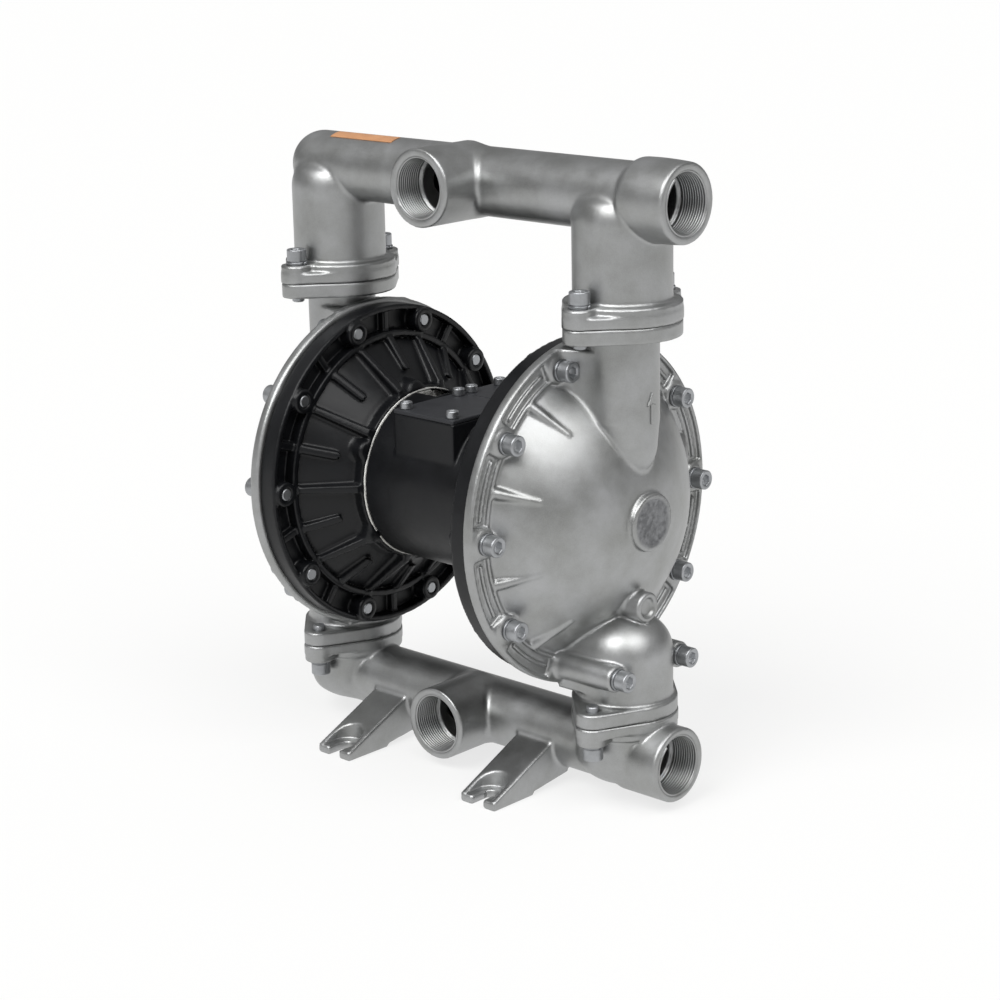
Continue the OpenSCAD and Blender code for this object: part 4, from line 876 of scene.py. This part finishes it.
FLOOR_HALF, WHITE_SHARE = 40000, 0.74
floor_finish = bpy.data.materials.new("pale_studio_floor")
floor_finish.use_nodes = True
tree = floor_finish.node_tree
tree.nodes["Principled BSDF"].inputs["Base Color"].default_value = linear("#e4e4e2")
tree.nodes["Principled BSDF"].inputs["Roughness"].default_value = 0.9
tree.nodes["Principled BSDF"].inputs["Specular IOR Level"].default_value = 0.1
# Seen directly or in a reflection, the floor is mixed with plain white, so that only the soft shadow shows on it
seen = add(tree, "ShaderNodeLightPath")
direct = add(tree, "ShaderNodeMath", links={0: seen.outputs["Is Camera Ray"], 1: seen.outputs["Is Glossy Ray"]},
             operation="MAXIMUM")
shown = add(tree, "ShaderNodeMath", links={0: direct.outputs[0], 1: seen.outputs["Is Transmission Ray"]},
            operation="MAXIMUM")
share = add(tree, "ShaderNodeMath", {1: WHITE_SHARE}, {0: shown.outputs[0]}, operation="MULTIPLY")
white = add(tree, "ShaderNodeEmission", {"Color": (1, 1, 1, 1), "Strength": 1.0})
mixed = add(tree, "ShaderNodeMixShader", links={0: share.outputs[0], 1: tree.nodes["Principled BSDF"].outputs[0],
                                                2: white.outputs[0]})
tree.links.new(mixed.outputs[0], tree.nodes["Material Output"].inputs["Surface"])
floor = mesh_object("studio_floor", [(m * FLOOR_HALF, n * FLOOR_HALF, 0) for m, n in
                                     ((-1, -1), (1, -1), (1, 1), (-1, 1))], [(0, 1, 2, 3)], smooth=False)
floor.data.materials.append(floor_finish)

world = bpy.data.worlds.new("soft_room")
bpy.context.scene.world = world
world.use_nodes = True
sky = world.node_tree
up = add(sky, "ShaderNodeTexCoord").outputs["Generated"]
height = add(sky, "ShaderNodeSeparateXYZ", links={0: up})
ramp = add(sky, "ShaderNodeMapRange", {"From Min": -0.2, "From Max": 1.0, "To Min": 0.2, "To Max": 0.42},
           {"Value": height.outputs["Z"]})
sky.links.new(ramp.outputs[0], sky.nodes["Background"].inputs["Strength"])
sky.nodes["Background"].inputs["Color"].default_value = (1, 1, 1, 1)


def sun(name, azimuth, elevation, energy, angle):
    """A large far lamp. Azimuth is measured like the camera's, from the front (-Y) towards +X."""
    lamp = bpy.data.lights.new(name, "SUN")
    lamp.energy = energy
    lamp.angle = math.radians(angle)
    obj = bpy.data.objects.new(name, lamp)
    a, e = math.radians(azimuth), math.radians(elevation)
    back = Vector((math.sin(a) * math.cos(e), -math.cos(a) * math.cos(e), math.sin(e)))
    obj.rotation_euler = back.to_track_quat("Z", "Y").to_euler()
    bpy.context.scene.collection.objects.link(obj)
    return obj


sun("key_softbox", 2, 49, 2.2, 36)
sun("side_softbox", 76, 52, 1.6, 44)

# The photograph's viewpoint, in degrees and millimetres
CAMERA_AZ, CAMERA_EL, CAMERA_ROLL = (math.radians(a) for a in (43.232, 15.521, -1.109))
CAMERA_DISTANCE, CAMERA_TARGET = 1956.783, Vector((23.386, 0.0, 218.981))
LENS, SENSOR = 87.545, 36.0
back = Vector((math.sin(CAMERA_AZ) * math.cos(CAMERA_EL), -math.cos(CAMERA_AZ) * math.cos(CAMERA_EL),
               math.sin(CAMERA_EL)))
level = Vector((math.cos(CAMERA_AZ), math.sin(CAMERA_AZ), 0))
upright = back.cross(level)
right_way = level * math.cos(CAMERA_ROLL) + upright * math.sin(CAMERA_ROLL)
up_way = upright * math.cos(CAMERA_ROLL) - level * math.sin(CAMERA_ROLL)
spot = (CAMERA_TARGET + back * CAMERA_DISTANCE) * MM
camera = bpy.data.objects.new("camera", bpy.data.cameras.new("camera"))
camera.data.lens, camera.data.sensor_width = LENS, SENSOR
camera.matrix_world = Matrix([(right_way[i], up_way[i], back[i], spot[i]) for i in range(3)] + [(0, 0, 0, 1)])
bpy.context.scene.collection.objects.link(camera)
bpy.context.scene.camera = camera
bpy.context.scene.view_settings.view_transform = "Standard"
